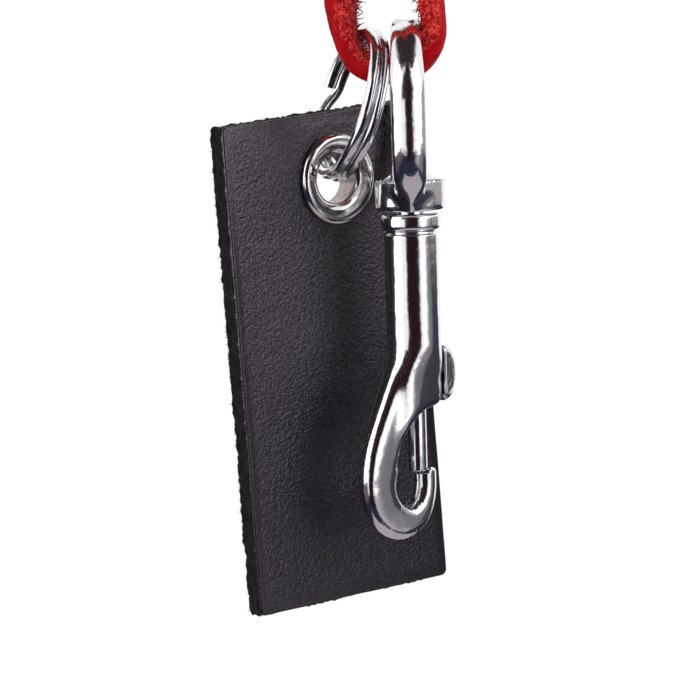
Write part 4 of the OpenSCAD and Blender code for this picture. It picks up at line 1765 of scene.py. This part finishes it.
@dataclass
class Plunger:
    """Sprung bolt, its thumb knob and the spring behind it."""

    bolt_d: float = 3.2
    chamfer: float = 0.4
    bolt_edge: float = 0.12
    knob_h: float = 9.2
    knob_w: float = 5.0
    knob_t: float = 3.9
    knob_over: float = 0.5
    knob_bow: float = 2.3
    knob_taper: float = 0.38
    knob_edge: float = 1.3
    knob_foot: float = 0.4
    stud_d: float = 2.0
    stud_in: float = 1.5
    stud_fillet: float = 0.3
    wire: float = 0.5
    turns: int = 8
    spring_r: float = 1.25

    def build(self, chrome: Material, steel: Material) -> list[Piece]:
        """Turns the bolt, casts the knob and winds the spring.

        Args:
            chrome: Material of the bolt and the knob.
            steel: Material of the spring.

        Returns:
            The pieces.
        """
        return [self._bolt(chrome), self._knob(chrome), self._spring(steel)]

    def _bolt(self, material: Material) -> Piece:
        """Turns the bolt."""
        foot, top = (corner[2] for corner in corners("bolt"))
        r, edge, soft = self.bolt_d / 2, self.chamfer, self.bolt_edge
        profile = [(0.0, foot), (r - edge, foot)]
        profile += arc((r - edge, foot + edge), edge, -80, 0, 8)
        profile += arc((r - soft, top - soft), soft, 0, 90, 4)
        profile += [(0.0, top)]
        return dress(turned("bolt_turned", profile, "bolt", material), Body.PLUNGER, Slot.CHROME, "bolt")

    def _knob(self, material: Material) -> Piece:
        """Casts the thumb knob with its stud."""
        low, high = corners("thumb_knob")
        foot = high[0] + self.knob_over - self.knob_t
        seat = (foot, *centre_of("thumb_knob")[1:])

        def distance(p: np.ndarray) -> np.ndarray:
            """Gives the distance of each point from the knob's skin."""
            q = p - seat
            bow = np.abs(q[:, 0] / self.knob_t) ** self.knob_bow + np.abs(2 * q[:, 2] / self.knob_h) ** self.knob_bow
            profile = self.knob_t * (np.maximum(bow, 1e-6) ** (1 / self.knob_bow) - 1)
            plan = 0.9 * (np.abs(q[:, 1]) - self.knob_w / 2 + self.knob_taper * q[:, 0])
            head = blend_max(blend_max(profile, plan, self.knob_edge), -q[:, 0], self.knob_foot)
            stud_ends = np.maximum(q[:, 0] - self.stud_in, low[0] - foot - q[:, 0])
            stud = np.maximum(np.hypot(q[:, 1], q[:, 2]) - self.stud_d / 2, stud_ends)
            return blend_min(head, stud, self.stud_fillet)

        knob = Casting("thumb_knob_cast", "thumb_knob", distance, 0.14).build(material)
        return dress(knob, Body.PLUNGER, Slot.CHROME, "thumb_knob")

    def _spring(self, material: Material) -> Piece:
        """Winds the spring by Geometry Nodes."""
        foot, top = (corner[2] for corner in corners("bolt_spring"))
        place = centre_of("bolt")[:2]
        tree = Recipe("bolt_spring_recipe")
        radius = tree.size("Middle radius", self.spring_r * MM)
        wire = tree.size("Wire radius", self.wire / 2 * MM)
        height = tree.size("Height", (top - foot - self.wire) * MM)
        turns = tree.size("Turns", float(self.turns))
        coil = tree.coil(40, turns, radius, height)
        spring = tree.run("bolt_spring_wound", tree.tube(coil, tree.circle(10, wire)), material)
        spring.data.transform(Matrix.Translation(Vector((*place, foot + self.wire / 2)) * MM))
        dress(spring, Body.SNAP, Slot.SPRING, "bolt_spring")
        travel = named("joints", "bolt_slide")["range_m"][1] / MM
        keep = 1 - travel / (top - foot)
        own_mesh(spring)
        return spring


# Studio

STAND_OFF = 620.0
PALE: Colour = (0.42, 0.385, 0.405)


@dataclass
class Studio:
    """Camera at the photograph's angle, white surroundings, soft boxes and dark flags."""

    aim: tuple[float, float, float] = (-4.68, 5.79, -69.17)
    heading: float = 39.71
    elevation: float = 5.52
    tilt: float = -1.70
    distance: float = 850.0
    lens: float = 266.76
    sensor: float = 36.0
    floor_z: float = -420.0
    floor_half: float = 30000.0
    floor_glow: float = 1.04
    floor_white: float = 0.92
    ambient: float = 0.85
    ragged: float = 0.14
    rag_size: float = 90.0

    def _axes(self) -> tuple[np.ndarray, np.ndarray]:
        """Gives the level directions of the view: ahead and to the right."""
        h = math.radians(self.heading)
        return np.array([math.sin(h), math.cos(h), 0.0]), np.array([math.cos(h), -math.sin(h), 0.0])

    def _around(self, angle: float, distance: float, height: float) -> np.ndarray:
        """Gives a point round the object.

        Args:
            angle: Angle from the camera's side, towards the right of the picture, in degrees.
            distance: Distance from the object, in millimetres.
            height: Height over the object's middle, in millimetres.

        Returns:
            The point, in millimetres.
        """
        ahead, right = self._axes()
        a = math.radians(angle)
        return np.array(self.aim) + distance * (right * math.sin(a) - ahead * math.cos(a)) + (0.0, 0.0, height)

    def camera(self) -> None:
        """Sets the camera."""
        ahead, right = self._axes()
        e, roll = math.radians(self.elevation), math.radians(self.tilt)
        forward = ahead * math.cos(e) - np.array([0.0, 0.0, math.sin(e)])
        up = np.cross(right, forward)
        across = right * math.cos(roll) + up * math.sin(roll)
        upright = up * math.cos(roll) - right * math.sin(roll)
        place = np.array(self.aim) - forward * self.distance
        data = bpy.data.cameras.new("camera")
        data.lens, data.sensor_width = self.lens, self.sensor
        camera = add_object("camera", data)
        camera.matrix_world = matrix_of(across, upright, -forward, place * MM)
        bpy.context.scene.camera = camera

    @staticmethod
    def _seen(nodes: Nodes) -> Sock:
        """Gives 1 for rays that show the surroundings, and 0 for those that light the object."""
        path = nodes.node("ShaderNodeLightPath", None, None, "Is Camera Ray")
        outputs = path.socket.node.outputs
        return path + Sock(nodes, outputs["Is Glossy Ray"]) + Sock(nodes, outputs["Is Transmission Ray"])

    def world(self) -> None:
        """Makes the white surroundings, dimmer where they only light the object."""
        world = bpy.data.worlds.new("white_room")
        bpy.context.scene.world = world
        world.use_nodes = True
        nodes = Nodes(world.node_tree)
        strength = self.ambient + (1 - self.ambient) * self._seen(nodes)
        sky = nodes.node("ShaderNodeBackground", None, {"Color": (1.0, 1.0, 1.0, 1.0), "Strength": strength})
        nodes.node("ShaderNodeOutputWorld", None, {"Surface": sky})

    def _sheet(self, name: str, middle: np.ndarray, across: np.ndarray, up: np.ndarray) -> Piece:
        """Makes a flat stage sheet from its middle and two half sides."""
        signs = ((-1, -1), (1, -1), (1, 1), (-1, 1))
        points = np.array([middle + a * across + b * up for a, b in signs]) * MM
        mesh = bpy.data.meshes.new(name)
        mesh.from_pydata(points.tolist(), [], [(0, 1, 2, 3)])
        sheet = add_object(name, mesh)
        for label, values in zip(("over", "up"), zip(*signs)):
            set_values(sheet, label, values)
        return sheet

    @staticmethod
    def _paint(sheet: Piece, shader: Shader, share: Sock, first: Sock, second: Sock) -> None:
        """Mixes two surfaces, by the share of the second, and paints a sheet with them."""
        mixed = shader.node("ShaderNodeMixShader", None, {0: share, 1: first, 2: second})
        shader.node("ShaderNodeOutputMaterial", None, {"Surface": mixed})
        sheet.data.materials.append(shader.material)

    def floor(self) -> None:
        """Lays the pale floor, which keeps the object's shadow."""
        half = self.floor_half
        middle = np.array([self.aim[0], self.aim[1], self.floor_z])
        floor = self._sheet("floor", middle, np.array([half, 0.0, 0.0]), np.array([0.0, half, 0.0]))
        shader = Shader("pale_floor")
        paint = shader.node("ShaderNodeBsdfDiffuse", None, {"Color": (0.86, 0.86, 0.86, 1.0)})
        glow = shader.node("ShaderNodeEmission", None, {"Strength": self.floor_glow})
        self._paint(floor, shader, self.floor_white * self._seen(shader), paint, glow)

    def card(
        self,
        name: str,
        middle: np.ndarray,
        across: np.ndarray,
        up: np.ndarray,
        colour: Colour,
        soft: Pair,
    ) -> None:
        """Puts up a card with faded edges, which only reflections see.

        Args:
            name: Name of the card.
            middle: Its middle.
            across: Half of its width.
            up: Half of its height.
            colour: What it shows in a reflection.
            soft: Shares of its width and height over which the edges fade.
        """
        card = self._sheet(name, middle, across, up)
        card.visible_camera = card.visible_diffuse = card.visible_shadow = card.visible_transmission = False
        shader = Shader(name)
        ragged = self.ragged * (shader.grain(self.rag_size, 3.0) - 0.5)
        cover = 1.0
        for label, share in zip(("over", "up"), soft):
            place = shader.attribute(label)
            cover = cover * (1.0 - shader.steps(place * place + ragged, (1 - share) ** 2, 1.0))
        dark = shader.node("ShaderNodeEmission", None, {"Color": (*colour, 1.0), "Strength": 1.0})
        self._paint(card, shader, cover, shader.node("ShaderNodeBsdfTransparent"), dark)

    def flag(
        self,
        name: str,
        angle: float,
        spread: float,
        span: Pair,
        colour: Colour,
        soft: Pair,
        distance: float = STAND_OFF,
    ) -> None:
        """Stands an upright flag beside the object.

        Args:
            name: Name of the flag.
            angle: Its place round the object, from the camera's side to the right.
            spread: Half of the angle that it takes up.
            span: Heights of its lower and upper edge over the object's middle.
            colour: What it shows in a reflection.
            soft: Shares of its width and height over which the edges fade.
            distance: Its distance from the object.
        """
        half = (span[1] - span[0]) / 2
        middle = self._around(angle, distance, (span[0] + span[1]) / 2)
        toward = unit((np.array(self.aim) - middle) * LEVEL)
        across = unit(np.cross(toward, UP)) * distance * math.tan(math.radians(spread))
        self.card(name, middle, across, np.array([0.0, 0.0, half]), colour, soft)

    def level_card(
        self, name: str, place: Pair, half: Pair, colour: Colour, soft: float
    ) -> None:
        """Lays a level card over or under the object.

        Args:
            name: Name of the card.
            place: How far it lies to the right, and its height over the object's middle.
            half: Half of its size across the view and along it.
            colour: What it shows in a reflection.
            soft: Share of its size over which the edges fade.
        """
        ahead, right = self._axes()
        self.card(name, self._around(90.0, *place), right * half[0], ahead * half[1], colour, (soft, soft))

    def soft_box(self, name: str, angle: float, height: float, size: Pair, watts: float) -> None:
        """Hangs a soft box that faces the object.

        Args:
            name: Name of the lamp.
            angle: Its place round the object, from the camera's side to the right.
            height: Its height over the object's middle.
            size: Its width and height.
            watts: Its power.
        """
        data = bpy.data.lights.new(name, "AREA")
        data.shape, data.energy = "RECTANGLE", watts
        data.size, data.size_y = size[0] * MM, size[1] * MM
        lamp = add_object(name, data)
        place = Vector(self._around(angle, STAND_OFF, height)) * MM
        lamp.location = place
        lamp.rotation_euler = (Vector(self.aim) * MM - place).to_track_quat("-Z", "Y").to_euler()
        lamp.visible_camera = False

    def build(self) -> None:
        """Sets up the whole studio."""
        bpy.context.scene.view_settings.view_transform = "Standard"
        self.camera()
        self.world()
        self.floor()
        self.flag("camera_flag", 4.0, 31.0, (-880.0, 1120.0), (0.020, 0.010, 0.014), (0.35, 0.3))
        self.flag("upper_flag", 0.0, 40.0, (80.0, 700.0), (0.034, 0.020, 0.024), (0.35, 0.2))
        self.flag("right_flag", 99.0, 26.0, (-82.0, 17.0), (0.044, 0.045, 0.058), (0.3, 0.45), 150.0)
        self.flag("right_fade", 84.0, 36.0, (-80.0, 36.0), (0.17, 0.162, 0.175), (0.85, 0.6), 156.0)
        self.flag("right_card", 99.0, 30.0, (-14.0, 70.0), PALE, (0.5, 0.15), 152.0)
        self.flag("front_skirt", 60.0, 26.0, (-330.0, -70.0), PALE, (0.5, 0.6), 540.0)
        self.flag("left_flag", -122.0, 38.0, (12.0, 62.0), (0.12, 0.09, 0.105), (0.4, 0.2), 150.0)
        self.flag("left_skirt", -78.0, 38.0, (-300.0, -82.0), (0.10, 0.075, 0.09), (0.3, 0.2), 540.0)
        self.level_card("ceiling", (0.0, 520.0), (560.0, 460.0), (0.036, 0.024, 0.028), 0.4)
        self.level_card("dark_floor", (0.0, -336.0), (1300.0, 1300.0), (0.022, 0.026, 0.045), 0.4)
        self.level_card("table", (80.0, -325.0), (340.0, 290.0), PALE, 0.18)
        self.soft_box("left_box", -67.0, 160.0, (520.0, 800.0), 1.9)
        self.soft_box("right_box", 63.0, 160.0, (480.0, 800.0), 1.7)


def main() -> None:
    """Builds the studio and the sub-assemblies in order."""
    logging.basicConfig(level=logging.INFO, format="%(name)s: %(message)s")
    Studio().build()
    chrome, nickel = CHROME.material(), NICKEL.material()
    pieces = Lace().build(LACE_LEATHER.material(), RED_FIBRE.material())
    pieces.append(SplitRing().build(chrome))
    pieces += Tag().build(
        FRONT_LEATHER.material(), EDGE_LEATHER.material(), BACK_LEATHER.material(), BLACK_FIBRE.material()
    )
    pieces += Eyelet().build(nickel, DULL_SHADED_NICKEL.material())
    pieces += SwivelEye().build(chrome)
    pieces.append(SnapBody().build(chrome))
    pieces += Plunger().build(chrome, SPRING_WIRE.material())
    LOG.info("%d pieces", len(pieces))


if __name__ == "__main__":
    main()
